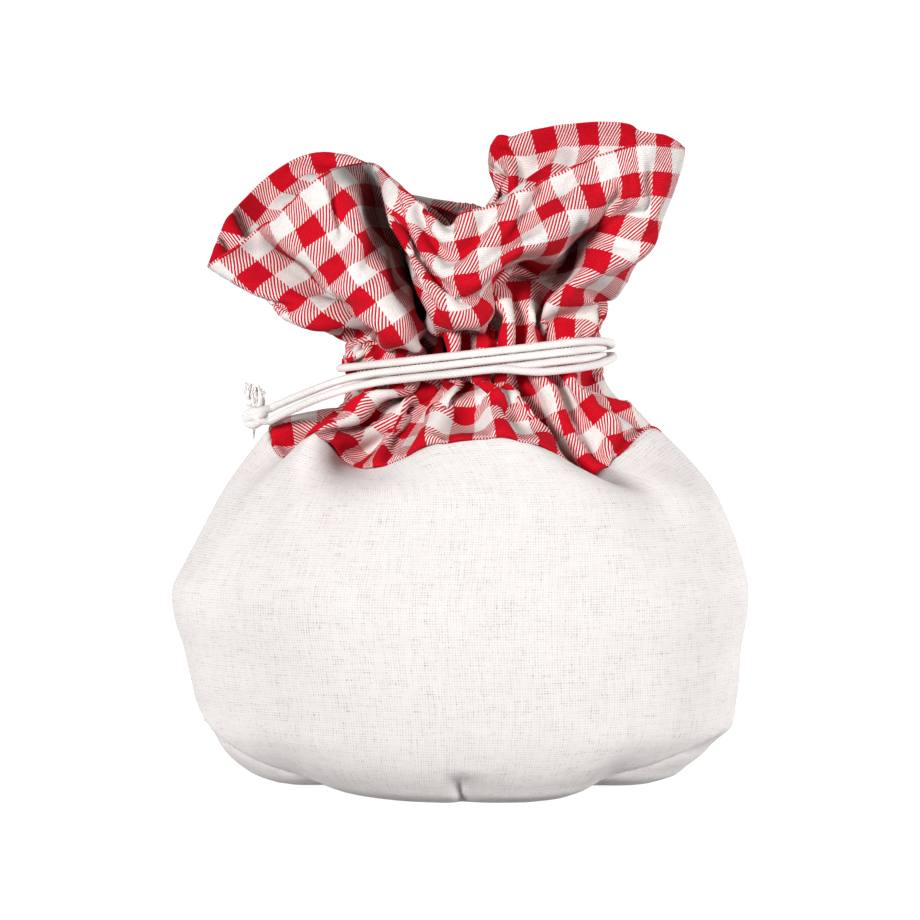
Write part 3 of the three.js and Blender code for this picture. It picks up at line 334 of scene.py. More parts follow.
# ---------------------------------------------------------------- gingham: lofted from the tables, then settled to its cut size
def push_apart(X, reach, skip):
    nu, nv, _ = X.shape
    P = X.reshape(-1, 3)
    n = len(P)
    c = np.floor((P - P.min(0)) / reach).astype(np.int64) + 1
    dims = c.max(0) + 2
    key = (c[:, 0] * dims[1] + c[:, 1]) * dims[2] + c[:, 2]
    order = np.argsort(key, kind="stable")
    sk = key[order]
    corr, cnt = np.zeros_like(P), np.zeros(n)
    ii, jj = np.arange(n) // nv, np.arange(n) % nv
    for o in [(x, y, z) for x in (-1, 0, 1) for y in (-1, 0, 1) for z in (-1, 0, 1) if (x, y, z) >= (0, 0, 0)]:
        nk = key + (o[0] * dims[1] + o[1]) * dims[2] + o[2]
        a, b = np.searchsorted(sk, nk, "left"), np.searchsorted(sk, nk, "right")
        for t in range(int((b - a).max())):
            p = np.flatnonzero(a + t < b)
            q = order[a[p] + t]
            if o == (0, 0, 0):
                w = p < q
                p, q = p[w], q[w]
            di = np.abs(ii[p] - ii[q])
            di = np.minimum(di, nu - di)
            w = (di > skip) | (np.abs(jj[p] - jj[q]) > skip)
            p, q = p[w], q[w]
            d = P[q] - P[p]
            l = np.sqrt((d * d).sum(1))
            w = l < reach
            p, q, d, l = p[w], q[w], d[w], l[w]
            if len(p):
                cc = (0.25 * (reach - l) / np.maximum(l, 1e-6))[:, None] * d
                for k in range(3):
                    corr[:, k] += np.bincount(q, cc[:, k], n) - np.bincount(p, cc[:, k], n)
                cnt += np.bincount(p, minlength=n) + np.bincount(q, minlength=n)
    P += corr / np.maximum(cnt, 1)[:, None]


def settle(X, hu, hv, rounds, gi, gp, gw, bending, fairing, reach, skip=3):
    X = X.copy()
    nu, nv, _ = X.shape
    ia = np.arange(nu)
    hd = math.hypot(hu, hv)

    def pull(a, b, rest, k):
        d = b - a
        l = np.sqrt((d * d).sum(-1, keepdims=True)) + 1e-9
        return 0.5 * k * (l - rest) / l * d

    jb = [np.array([j for j in range(nv - 2) if j % 4 in (g, g + 1)]) for g in (0, 2)]
    ib = [np.concatenate([ia[g::4], ia[g + 1::4]]) for g in (0, 2)]
    for it in range(rounds):
        for e in (0, 1):
            i0 = ia[e::2]
            i1 = (i0 + 1) % nu
            c = pull(X[i0], X[i1], hu, 1.0)
            X[i0] += c
            X[i1] -= c
        for e in (0, 1):
            n = (nv - e) // 2
            a, b = X[:, e:e + 2 * n:2], X[:, e + 1:e + 1 + 2 * n:2]
            n = min(a.shape[1], b.shape[1])
            c = pull(a[:, :n], b[:, :n], hv, 1.0)
            X[:, e:e + 2 * n:2] += c
            X[:, e + 1:e + 1 + 2 * n:2] -= c
        for e in (0, 1):
            i0 = ia[e::2]
            i1 = (i0 + 1) % nu
            c = pull(X[i0][:, :-1], X[i1][:, 1:], hd, 0.25)
            X[i0, :-1] += c
            X[i1, 1:] -= c
            c = pull(X[i0][:, 1:], X[i1][:, :-1], hd, 0.25)
            X[i0, 1:] += c
            X[i1, :-1] -= c
        for i0 in ib:
            i1 = (i0 + 2) % nu
            c = pull(X[i0], X[i1], 2 * hu, bending)
            X[i0] += c
            X[i1] -= c
        for j0 in jb:
            c = pull(X[:, j0], X[:, j0 + 2], 2 * hv, bending)
            X[:, j0] += c
            X[:, j0 + 2] -= c
        lap = 0.5 * (np.roll(X, 1, 0) + np.roll(X, -1, 0)) - X
        X -= fairing * (0.5 * (np.roll(lap, 1, 0) + np.roll(lap, -1, 0)) - lap)
        lap = np.zeros_like(X)
        lap[:, 1:-1] = 0.5 * (X[:, 2:] + X[:, :-2]) - X[:, 1:-1]
        bl = np.zeros_like(X)
        bl[:, 1:-1] = 0.5 * (lap[:, 2:] + lap[:, :-2]) - lap[:, 1:-1]
        X -= fairing * bl
        flat = X.reshape(-1, 3)
        flat[gi] += gw[:, None] * (gp - flat[gi])
        if it >= 30 and it % 6 == 0:
            push_apart(X, reach, skip)
    return X


def off_line(U, D, way):
    """how far each place on the cloth lies from a line, and on which side (positive: fewer checks, or lower)"""
    best, side = np.full(U.shape, 1e9), np.zeros(U.shape)
    for (u0, d0), (u1, d1) in zip(way[:-1], way[1:]):
        a, b = u0 * CHECK, d0
        e, f = u1 * CHECK - a, d1 - d0
        t = np.clip(((U - a) * e + (D - b) * f) / (e * e + f * f), 0, 1)
        s = np.hypot(U - a - t * e, D - b - t * f)
        near = s < best
        best, side = np.where(near, s, best), np.where(near, e * (D - b) - f * (U - a), side)
    return best, side


def draw_out(X, hu, hv):
    nu, nv, _ = X.shape
    U, D = np.meshgrid(np.arange(nu) * hu, BAND - np.arange(nv) * hv, indexing="ij")
    free = np.clip((np.abs(D - 0.5 * (NECK_TOP + NECK_FOOT)) - 6) / 5, 0, 1) * np.clip((BAND - D) / 10, 0, 1)
    for name, kind, way, (w_few, w_more), push in FOLD_LINES:
        best, side = off_line(U, D, way)
        w = np.where(side > 0, w_few, w_more)
        if kind == "round":
            k = np.exp(-(best / w) ** 2)
        elif kind == "crease":
            k = np.clip(1 - best / w, 0, 1)
        else:
            k = np.where(side > 0, best / w * np.exp(1 - best / w), 0) * np.clip(3.2 - best / w, 0, 1)
        X += (k * free)[..., None] * np.array(push, float)
    return X


def grow(X, nu2, nv2):
    """the same cloth on a finer grid"""
    nu, nv, _ = X.shape
    Y = closed_curve(np.arange(nu), X, np.arange(nu2) * nu / nu2, nu)
    Z = open_curve(np.arange(nv), Y.transpose(1, 0, 2), np.linspace(0, nv - 1, nv2))
    return Z.transpose(1, 0, 2)


def grid_normals(X):
    e = np.roll(X, -1, 0) - np.roll(X, 1, 0)
    u = np.empty_like(X)
    u[:, 1:-1] = X[:, 2:] - X[:, :-2]
    u[:, 0] = X[:, 1] - X[:, 0]
    u[:, -1] = X[:, -1] - X[:, -2]
    n = np.cross(e, u)
    return n / (np.linalg.norm(n, axis=-1, keepdims=True) + 1e-12)


def neck_height(x):
    return NECK_Z + NECK_TILT * x


pleats = [(u, (x, y, neck_height(x))) for u, x, y in PLEATS]
u_first, u_last = PLEATS[0][0], PLEATS[-1][0]
for k in range(1, 2 * BACK_PLEATS):
    t = k / (2 * BACK_PLEATS)
    r = NECK["inner"] if k % 2 else 1.0
    x, y = NECK["x"] + NECK["wide"] * r * math.cos(math.pi * t), NECK["deep"] * r * math.sin(math.pi * t)
    pleats.append((u_last + (60 + u_first - u_last) * t, (x, y, neck_height(x))))
seam_rows = [(u, s) for u, m, s in SHOULDER]
u_last = SHOULDER[-1][0]
for k in range(1, BACK_SEAM["steps"]):
    t = k / BACK_SEAM["steps"]
    reach, z = BACK_SEAM["valley"] if k % 4 == 0 else BACK_SEAM["flank"] if k % 2 else BACK_SEAM["hump"]
    a = math.pi * t
    seam_rows.append((u_last + (60 - u_last) * t, (BACK_SEAM["x"] + BACK_SEAM["wide"] * reach * math.cos(a),
                                                   BACK_SEAM["y"] + BACK_SEAM["deep"] * reach * math.sin(a), z)))


def ring(rows, uq):
    r = sorted(((u % 60) * CHECK, p) for u, p in rows)
    return closed_curve([a for a, _ in r], np.array([p for _, p in r], float), uq, ROUND)


def foot(p):
    return (p[0], p[1], p[2] - (NECK_FOOT - NECK_TOP) + 1)


def make_gingham():
    nu, nv = ((240, 65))
    hu, hv = ROUND / nu, BAND / (nv - 1)
    U = np.arange(nu) * hu
    lines = [ring([(r[0], r[1 + s]) for r in FOLDS], U) for s in range(len(STATIONS))]
    lines += [ring(pleats, U), ring([(u, foot(p)) for u, p in pleats], U), ring(seam_rows, U)]
    X = open_curve(np.array(STATIONS + [NECK_TOP, NECK_FOOT, BAND]), np.array(lines), BAND - np.arange(nv) * hv).transpose(1, 0, 2)
    g = {}

    def hold(u, d, p, k):
        g[(int(round(u * CHECK / hu)) % nu) * nv + int(round((BAND - d) / hv))] = (p, k)

    for u, m, s in SHOULDER:
        hold(u, SHOULDER_MID, m, 0.12)
    for u, p in pleats:
        hold(u, NECK_TOP, p, 0.15)
        hold(u, NECK_FOOT, foot(p), 0.15)
    for r in FOLDS:
        for s, d in enumerate(STATIONS):
            hold(r[0], d, r[1 + s], FOLD_HOLD)
    for i in range(nu):
        g[i * nv] = (lines[-1][i], 0.9)
    gi = np.array(list(g))
    gp = np.array([v[0] for v in g.values()], float)
    gw = np.array([v[1] for v in g.values()])
    X = settle(X, hu, hv, 350, gi, gp, gw, 0.06, 0.03, FOLD_CLEAR)
    X = settle(X, hu, hv, 120, gi, gp, np.where(gw > 0.5, gw, gw * FOLD_EASE), 0.10, 0.05, FOLD_CLEAR)
    X = draw_out(X, hu, hv)
    down = BAND - (gi % nv) * hv
    kept = (np.abs(down - 0.5 * (NECK_TOP + NECK_FOOT)) < 8) | (down > BAND - 1)
    return settle(X, hu, hv, 8, gi[kept], gp[kept], gw[kept], 0.03, 0.02, FOLD_CLEAR)


cloth = make_gingham()


# ---------------------------------------------------------------- mesh helpers
def make_mesh(name, verts, quads, tris=(), uv=None, bake=None, smooth=True, painted_shade=None):
    """verts in mm; quads (n,4), tris (m,3); uv and bake are per corner, quads first"""
    quads = np.asarray(quads, np.int32).reshape(-1, 4)
    tris = np.asarray(tris, np.int32).reshape(-1, 3)
    me = bpy.data.meshes.new(name)
    me.vertices.add(len(verts))
    me.vertices.foreach_set("co", (np.asarray(verts, float) * MM).astype(np.float32).ravel())
    corners = np.concatenate([quads.ravel(), tris.ravel()])
    me.loops.add(len(corners))
    me.loops.foreach_set("vertex_index", corners)
    starts = np.concatenate([np.arange(len(quads)) * 4, 4 * len(quads) + np.arange(len(tris)) * 3])
    me.polygons.add(len(starts))
    me.polygons.foreach_set("loop_start", starts.astype(np.int32))
    me.update(calc_edges=True)
    for label, data in (("cloth", uv), ("OFBake", bake)):
        if data is not None:
            layer = me.uv_layers.new(name=label)
            layer.uv.foreach_set("vector", np.asarray(data, np.float32).ravel())
    me.polygons.foreach_set("use_smooth", np.full(len(starts), smooth))
    if painted_shade is not None:
        me.attributes.new("painted_shade", "FLOAT", "POINT").data.foreach_set("value", np.asarray(painted_shade, np.float32))
    me.validate()
    ob = bpy.data.objects.new(name, me)
    scene.collection.objects.link(ob)
    return ob


def ring_quads(rows, cols, first=0):
    """quads of a grid whose columns close, vertex = first + row * cols + column; rows rise"""
    r, c = np.meshgrid(np.arange(rows - 1), np.arange(cols), indexing="ij")
    a = first + r * cols + c
    b = first + r * cols + (c + 1) % cols
    return np.stack([a, b, b + cols, a + cols], -1).reshape(-1, 4), r.ravel(), c.ravel()


# painted shade: how much the cloth colour is darkened at each place deep in the folds
def painted_fold_shade(nu, d):
    U, D = np.meshgrid(np.arange(nu) * ROUND / nu, d, indexing="ij")
    out = np.zeros(U.shape)
    for name, way, reach, dark in FOLD_SHADES:
        off, side = off_line(U, D, way)
        k = np.clip(2.8 * (1 - off / np.where(side > 0, reach[0], reach[1])), 0, 1)
        out = np.maximum(out, dark * k * k * (3 - 2 * k))
    return out


# ---------------------------------------------------------------- gingham piece: outside, turned rim, inside, seam edge
def gingham_piece(X):
    nu, nv = ((384, 108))
    X = grow(X, nu, nv)
    N = grid_normals(X)
    for _ in range(2):
        N = N + 0.5 * (np.roll(N, 1, 0) + np.roll(N, -1, 0))
        N /= np.linalg.norm(N, axis=-1, keepdims=True)
    hv = BAND / (nv - 1)
    d = BAND - np.arange(nv) * hv
    half = COTTON / 2 * (1 + 0.35 * np.clip(1 - d / 6.0, 0, 1))
    # the last millimetres before the seam dip into it
    dip = 0.9 * np.clip(1 - (BAND - d) / 2.2, 0, 1) ** 2
    mid = X - N * dip[None, :, None]
    outer = mid + N * half[None, :, None]
    inner = mid - N * half[None, :, None]
    up = X[:, -1] - X[:, -2]
    up /= np.linalg.norm(up, axis=-1, keepdims=True)
    rim = [mid[:, -1] + half[-1] * (math.cos(a) * N[:, -1] + math.sin(a) * up) for a in (math.pi / 4, math.pi / 2, 3 * math.pi / 4)]
    rows = [outer[:, j] for j in range(nv)] + rim + [inner[:, j] for j in range(nv - 1, -1, -1)]
    s = np.concatenate([d, [0.35, 0.0, -0.35], -d[::-1]])
    verts = np.concatenate(rows)
    R = len(rows)
    quads, r, c = ring_quads(R, nu)
    closing = np.stack([(R - 1) * nu + np.arange(nu), (R - 1) * nu + (np.arange(nu) + 1) % nu, (np.arange(nu) + 1) % nu, np.arange(nu)], -1)
    hu = ROUND / nu
    uv = np.stack([np.stack([c * hu, s[r]], -1), np.stack([(c + 1) * hu, s[r]], -1),
                   np.stack([(c + 1) * hu, s[r + 1]], -1), np.stack([c * hu, s[r + 1]], -1)], 1).reshape(-1, 2) / CHECK
    k = np.arange(nu)
    edge = np.stack([np.stack([k * hu, 0 * k - BAND], -1), np.stack([(k + 1) * hu, 0 * k - BAND], -1),
                     np.stack([(k + 1) * hu, 0 * k - BAND - 0.1], -1), np.stack([k * hu, 0 * k - BAND - 0.1], -1)], 1).reshape(-1, 2) / CHECK
    uv = np.concatenate([uv, edge])
    bake = np.stack([0.002 + 0.996 * uv[:, 0] / 60.0, 0.5 + 0.49 * uv[:, 1] / 16.2], -1)
    # painted shade for the outside rows; the turned rim takes the top row's, the inside gets none
    shade = painted_fold_shade(nu, d)
    painted_shade = np.concatenate([shade.T.ravel(), np.tile(shade[:, -1], 3), np.zeros(nu * nv)])
    ob = make_mesh("gingham_cloth", verts, np.concatenate([quads, closing]), uv=uv, bake=bake, painted_shade=painted_shade)
    return ob, outer, inner, N


# ---------------------------------------------------------------- linen pouch
def outline(level, uq):
    left, right, front, back, square = open_curve(BODY_Z, BODY_ROWS, np.array([level]))[0]
    cx, cy, deep, wide = (left + right) / 2, (front + back) / 2, (back - front) / 2, (right - left) / 2
    a = np.linspace(0, math.pi, 361)
    ca, sa = np.cos(a), np.sin(a)
    x = wide * np.sign(ca) * np.abs(ca) ** (2 / square)
    y = deep * np.abs(sa) ** (2 / square)
    s = np.concatenate([[0], np.cumsum(np.hypot(np.diff(x), np.diff(y)))])
    s /= s[-1]
    q = np.asarray(uq, float) % ROUND
    front_half = (q >= FRONT_FROM) & (q <= FRONT_TO)
    f = np.where(front_half, (q - FRONT_FROM) / (FRONT_TO - FRONT_FROM), ((q - FRONT_TO) % ROUND) / (ROUND - FRONT_TO + FRONT_FROM))
    px, py = np.interp(f, s, x), np.interp(f, s, y)
    return np.stack([np.where(front_half, cx - px, cx + px), np.where(front_half, cy - py, cy + py)], -1)


def away(u, at):
    d = u / CHECK - at
    return d - 60 * np.round(d / 60)


def ramp(z, a, b):
    return np.clip((z - a) / (b - a), 0, 1)


def smooth(t):
    return t * t * (3 - 2 * t)


def inward(u, z):
    d = np.zeros_like(u)
    for at, lean, wide, top, low in SOFT_FOLDS:
        a = at + lean * (126 - z) / 10
        d += np.exp(-(away(u, a) / (wide * (1 + 0.5 * ramp(126 - z, 0, 40)))) ** 2) * (low * smooth(ramp(z, 74, 104)) + (top - low) * smooth(ramp(z, 100, 128)))
    for foot_, head, height, deep, wide, side in BASE_CREASES:
        t = z / height
        if t < 1.2:
            s = away(u, foot_ + (head - foot_) * min(t, 1.05)) * side
            fade = smooth(min(1.0, (1.2 - t) / 0.55))
            d += deep * fade * np.where(s >= 0, np.exp(-s / wide), np.exp(-(s / 0.38) ** 2))
    return d


def linen_piece(g_outer, g_normals):
    nu, nv, nb = ((320, 104, 18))
    hu = ROUND / nu
    U = np.arange(nu) * hu
    seam = closed_curve(np.arange(g_outer.shape[0]), g_outer[:, 0], np.arange(nu) * g_outer.shape[0] / nu, g_outer.shape[0])
    seam_n = closed_curve(np.arange(g_outer.shape[0]), g_normals[:, 0], np.arange(nu) * g_outer.shape[0] / nu, g_outer.shape[0])
    levels = [0.0, 1.2, 2.6, 4, 6, 8, 10, 12, 14.5, 17, 19.5, 22, 25, 28, 32, 36, 41, 46, 58, 70, 82, 93, 103, 112, 119]
    lift = np.maximum(closed_curve([u * CHECK for u, _ in BASE_LIFT], [h for _, h in BASE_LIFT], U, ROUND), 0)
    lines = []
    for z in levels:
        p = outline(z, U)
        t = outline(z, U + 3) - outline(z, U - 3)
        t /= np.linalg.norm(t, axis=-1, keepdims=True) + 1e-9
        k = inward(U, z)[:, None]
        p = p + k * np.stack([-t[:, 1], t[:, 0]], -1)
        lines.append(np.concatenate([p, (z + lift * (1 - smooth(ramp(z, 0, 36))))[:, None]], 1))
    lines.append(seam)
    L = np.array(lines)
    step = np.linalg.norm(np.diff(L, axis=0), axis=-1).mean(1)
    s = np.concatenate([[0], np.cumsum(step)])
    # rows are closer at the foot and at the seam
    q = np.linspace(0, 1, nv)
    q = s[-1] * (q - 0.055 * np.sin(2 * math.pi * q))
    W = open_curve(s, L, q)
    W[0, :, 2] = lift
    W[:, :, 2] = np.maximum(W[:, :, 2], 0)
    W = W.transpose(1, 0, 2)
    N = grid_normals(W)
    dip = 1.0 * np.clip(1 - (q[-1] - q) / 2.4, 0, 1) ** 2
    W = W - N * dip[None, :, None]
    W[:, -1] -= 0.25 * (W[:, -1] - W[:, -2]) / np.linalg.norm(W[:, -1] - W[:, -2], axis=-1, keepdims=True)
    N[:, 0] = (0, 0, -1)
    inner = W - N * LINEN
    hub = W[:, 0].mean(0) * np.array([1, 1, 0])
    hub_in = hub + np.array([0, 0, LINEN])
    f = np.linspace(0, 1, nb + 1)[1:-1]
    base = [hub + (W[:, 0] - hub) * t for t in f]
    base_in = [hub_in + (inner[:, 0] - hub_in) * t for t in f]
    rows = base + [W[:, j] for j in range(nv)] + [inner[:, j] for j in range(nv - 1, -1, -1)] + base_in[::-1]
    verts = np.concatenate(rows + [hub[None], hub_in[None]])
    R = len(rows)
    quads, r, c = ring_quads(R, nu)
    k = np.arange(nu)
    n = R * nu
    tris = np.concatenate([np.stack([np.full(nu, n), (k + 1) % nu, k], -1),
                           np.stack([np.full(nu, n + 1), (R - 1) * nu + k, (R - 1) * nu + (k + 1) % nu], -1)])
    # cloth coordinates: round the bag and up from the foot on the wall, plan on the base
    foot_len = np.linalg.norm(W[:, 0] - hub, axis=-1).mean()
    along = np.concatenate([foot_len * (f - 1), q])
    along = np.concatenate([along, along[::-1]])
    side = np.concatenate([np.zeros(R // 2), np.ones(R // 2)])
    uv = np.stack([np.stack([c * hu, along[r]], -1), np.stack([(c + 1) * hu, along[r]], -1),
                   np.stack([(c + 1) * hu, along[r + 1]], -1), np.stack([c * hu, along[r + 1]], -1)], 1).reshape(-1, 2)
    tuv = np.concatenate([np.stack([np.stack([(k + 0.5) * hu, 0 * k - foot_len], -1), np.stack([(k + 1) * hu, 0 * k + along[0]], -1), np.stack([k * hu, 0 * k + along[0]], -1)], 1),
                          np.stack([np.stack([(k + 0.5) * hu, 0 * k - foot_len], -1), np.stack([k * hu, 0 * k + along[0]], -1), np.stack([(k + 1) * hu, 0 * k + along[0]], -1)], 1)]).reshape(-1, 2)
    half = np.concatenate([np.repeat(np.where(r >= R // 2, 1.0, 0.0), 4), np.repeat([0.0, 1.0], nu * 3)])
    uv = np.concatenate([uv, tuv])
    span = along.max() - along.min() + foot_len * f[0] + 2
    bake = np.stack([0.002 + 0.996 * uv[:, 0] / ROUND, 0.005 + 0.5 * half + 0.49 * (uv[:, 1] + foot_len) / span], -1)
    ob = make_mesh("linen_cloth", verts, quads, tris, uv=uv / CHECK, bake=bake)
    return ob, W


gingham, g_outer, g_inner, g_normals = gingham_piece(cloth)
linen, l_wall = linen_piece(g_outer, g_normals)


# ---------------------------------------------------------------- tie cord, taut over the pleats
def hull_of(pts):
    p = sorted(map(tuple, pts))

    def half(seq):
        h = []
        for q in seq:
            while len(h) > 1 and (h[-1][0] - h[-2][0]) * (q[1] - h[-2][1]) - (h[-1][1] - h[-2][1]) * (q[0] - h[-2][0]) <= 0:
                h.pop()
            h.append(q)
        return h[:-1]

    return np.array(half(p) + half(p[::-1]))


def strand_height(x, level):
    return CORD_Z + CORD_TILT * x - level * STRAND


def reach_table(level):
    P = g_outer.reshape(-1, 3)
    P = P[np.abs(P[:, 2] - strand_height(P[:, 0], level)) < CORD / 2 + 0.6]
    h = hull_of(P[:, :2] - np.array([NECK["x"], 0]))
    deg = np.arange(0, 360, 2)
    out = []
    e = np.roll(h, -1, 0) - h
    for a in np.radians(deg):
        dx, dy = math.cos(a), math.sin(a)
        den = dx * e[:, 1] - dy * e[:, 0]
        den = np.where(np.abs(den) < 1e-9, 1e-9, den)
        t = (h[:, 0] * e[:, 1] - h[:, 1] * e[:, 0]) / den
        s = (h[:, 0] * dy - h[:, 1] * dx) / den
        ok = (t > 0) & (s >= -1e-6) & (s <= 1 + 1e-6)
        out.append(t[ok].max() if ok.any() else NECK["wide"])
    out = np.array(out)
    ext = np.concatenate([out[-6:], out, out[:6]])
    return np.convolve(np.maximum.reduce([np.roll(ext, s) for s in (-1, 0, 1)]), [0.1, 0.2, 0.4, 0.2, 0.1], "same")[6:-6]


REACH = [reach_table(k) for k in range(5)]


def on_neck(deg, level, layer):
    lo = max(int(math.floor(level)), 0)
    hi = max(int(math.ceil(level)), 0)
    r = max(np.interp(deg % 360, np.arange(0, 362, 2), np.append(REACH[k], REACH[k][0])) for k in (lo, hi))
    r += 0.1 + CORD / 2 + layer * STRAND * 0.96
    a = math.radians(deg)
    x = NECK["x"] + r * math.cos(a)
    return (x, r * math.sin(a), strand_height(x, level))


def windings(rows, step=4.0):
    out = []
    for (a0, l0, y0), (a1, l1, y1) in zip(rows, rows[1:]):
        n = max(2, int(round(abs(a1 - a0) / step)))
        for s in range(n):
            t = s / n
            e = t * t * (3 - 2 * t)
            out.append(on_neck(a0 + (a1 - a0) * t, l0 + (l1 - l0) * e, y0 + (y1 - y0) * e))
    out.append(on_neck(*rows[-1]))
    return out


def even(pts, step):
    P = np.array(pts, float)
    s = np.concatenate([[0], np.cumsum(np.linalg.norm(np.diff(P, axis=0), axis=1))])
    n = int(round(s[-1] / step))
    return open_curve(s, P, np.linspace(0, s[-1], n + 1))


def soften_line(P, times):
    P = P.copy()
    for _ in range(times):
        P[1:-1] += 0.5 * (0.5 * (P[2:] + P[:-2]) - P[1:-1])
    return P


def tube(P, radius, sides, turns=0.0):
    """ring verts along a line, with a frame that is carried along without twist"""
    T = np.gradient(P, axis=0)
    T /= np.linalg.norm(T, axis=1, keepdims=True)
    side = np.cross(T[0], (0.0, 0.0, 1.0))
    side /= np.linalg.norm(side)
    verts = []
    rad = np.broadcast_to(radius, len(P))
    for k in range(len(P)):
        side = side - T[k] * (side @ T[k])
        side /= np.linalg.norm(side)
        other = np.cross(T[k], side)
        a = 2 * math.pi * np.arange(sides) / sides
        verts.append(P[k] + rad[k] * (np.cos(a)[:, None] * side + np.sin(a)[:, None] * other))
    return np.array(verts)


def tube_mesh(name, P, radius, sides):
    V = tube(P, radius, sides)
    n = len(P)
    verts = np.concatenate([V.reshape(-1, 3), P[:1] - 0.35 * (P[1] - P[0]), P[-1:] + 0.35 * (P[-1] - P[-2])])
    r, c = np.meshgrid(np.arange(n - 1), np.arange(sides), indexing="ij")
    r, c = r.ravel(), c.ravel()
    a, b = r * sides + c, r * sides + (c + 1) % sides
    quads = np.stack([a, b, b + sides, a + sides], -1)
    k = np.arange(sides)
    m = n * sides
    tris = np.concatenate([np.stack([np.full(sides, m), (k + 1) % sides, k], -1),
                           np.stack([np.full(sides, m + 1), (n - 1) * sides + k, (n - 1) * sides + (k + 1) % sides], -1)])
    s = np.concatenate([[0], np.cumsum(np.linalg.norm(np.diff(P, axis=0), axis=1))])
    w = 2 * math.pi * np.mean(radius) / sides
    uv = np.stack([np.stack([s[r], c * w], -1), np.stack([s[r], (c + 1) * w], -1), np.stack([s[r + 1], (c + 1) * w], -1), np.stack([s[r + 1], c * w], -1)], 1).reshape(-1, 2)
    cap = np.concatenate([np.stack([np.stack([0 * k, (k + 0.5) * w], -1), np.stack([0 * k, (k + 1) * w], -1), np.stack([0 * k, k * w], -1)], 1),
                          np.stack([np.stack([0 * k + s[-1], (k + 0.5) * w], -1), np.stack([0 * k + s[-1], k * w], -1), np.stack([0 * k + s[-1], (k + 1) * w], -1)], 1)]).reshape(-1, 2)
    return make_mesh(name, verts, quads, tris, uv=np.concatenate([uv, cap]) / CHECK), s[-1]


route = list(TIE_UPPER) + windings(WOUND_OUT) + [on_neck(*p) for p in BIGHT] + windings(WOUND_BACK) + list(TIE_LOWER)[::-1]
line = soften_line(even(soften_line(even(route, 2.0), 6), 1.0), 6)
cord, cord_length = tube_mesh("cord_line", line, CORD / 2, 14)


# ---------------------------------------------------------------- knot of the two ends, with a frayed tassel
FRAY_UV = (CHECK * 0.5 / 6.2, 0.0)                       # a place on the braid's crown, for single yarns


def knot_piece():
    rng = np.random.default_rng(7)
    at = np.array(KNOT["at"], float)
    V, Q, T, UV = [], [], [], []
    count = 0

    def add_tube(P, radius, sides):
        nonlocal count
        W = tube(P, radius, sides)
        n = len(P)
        r, c = np.meshgrid(np.arange(n - 1), np.arange(sides), indexing="ij")
        r, c = r.ravel(), c.ravel()
        a, b = r * sides + c, r * sides + (c + 1) % sides
        Q.append(np.stack([a, b, b + sides, a + sides], -1) + count)
        k = np.arange(sides)
        m = n * sides
        T.append(np.concatenate([np.stack([np.full(sides, m), (k + 1) % sides, k], -1),
                                 np.stack([np.full(sides, m + 1), (n - 1) * sides + k, (n - 1) * sides + (k + 1) % sides], -1)]) + count)
        V.append(np.concatenate([W.reshape(-1, 3), P[:1], P[-1:]]))
        s = np.concatenate([[0], np.cumsum(np.linalg.norm(np.diff(P, axis=0), axis=1))])
        w = 2 * math.pi * np.mean(radius) / sides
        UV.append(np.stack([np.stack([s[r], c * w], -1), np.stack([s[r], (c + 1) * w], -1), np.stack([s[r + 1], (c + 1) * w], -1), np.stack([s[r + 1], c * w], -1)], 1).reshape(-1, 2))
        count += m + 2

    def curve(pts, n=40):
        P = np.array(pts, float)
        s = np.concatenate([[0], np.cumsum(np.linalg.norm(np.diff(P, axis=0), axis=1))])
        return open_curve(s, P, np.linspace(0, s[-1], n))

    for pts in KNOT["strands"]:
        add_tube(curve(at + np.array(pts, float), 48), CORD / 2, 14)
    for pts, (thick, thin) in KNOT["bundles"]:
        add_tube(curve(at + np.array(pts, float), 12), np.linspace(thick, thin, 12), 12)
        UV[-1][:] = FRAY_UV
    # frayed yarns
    for (root, tip, spread, number) in KNOT["frays"]:
        root, tip = at + np.array(root, float), at + np.array(tip, float)
        for _ in range(number):
            a = root + rng.normal(0, 0.55, 3)
            b = tip + rng.normal(0, spread, 3)
            c = (a + b) / 2 + rng.normal(0, spread * 0.45, 3)
            add_tube(curve([a, c, b], 10), np.linspace(0.50, 0.26, 10), 6)
            UV[-1][:] = FRAY_UV
    ob = make_mesh("knot_lump", np.concatenate(V), np.concatenate(Q), np.concatenate(T), uv=np.concatenate(UV + [np.zeros((3 * sum(len(t) for t in T), 2))]) / CHECK)
    return ob


knot = knot_piece()


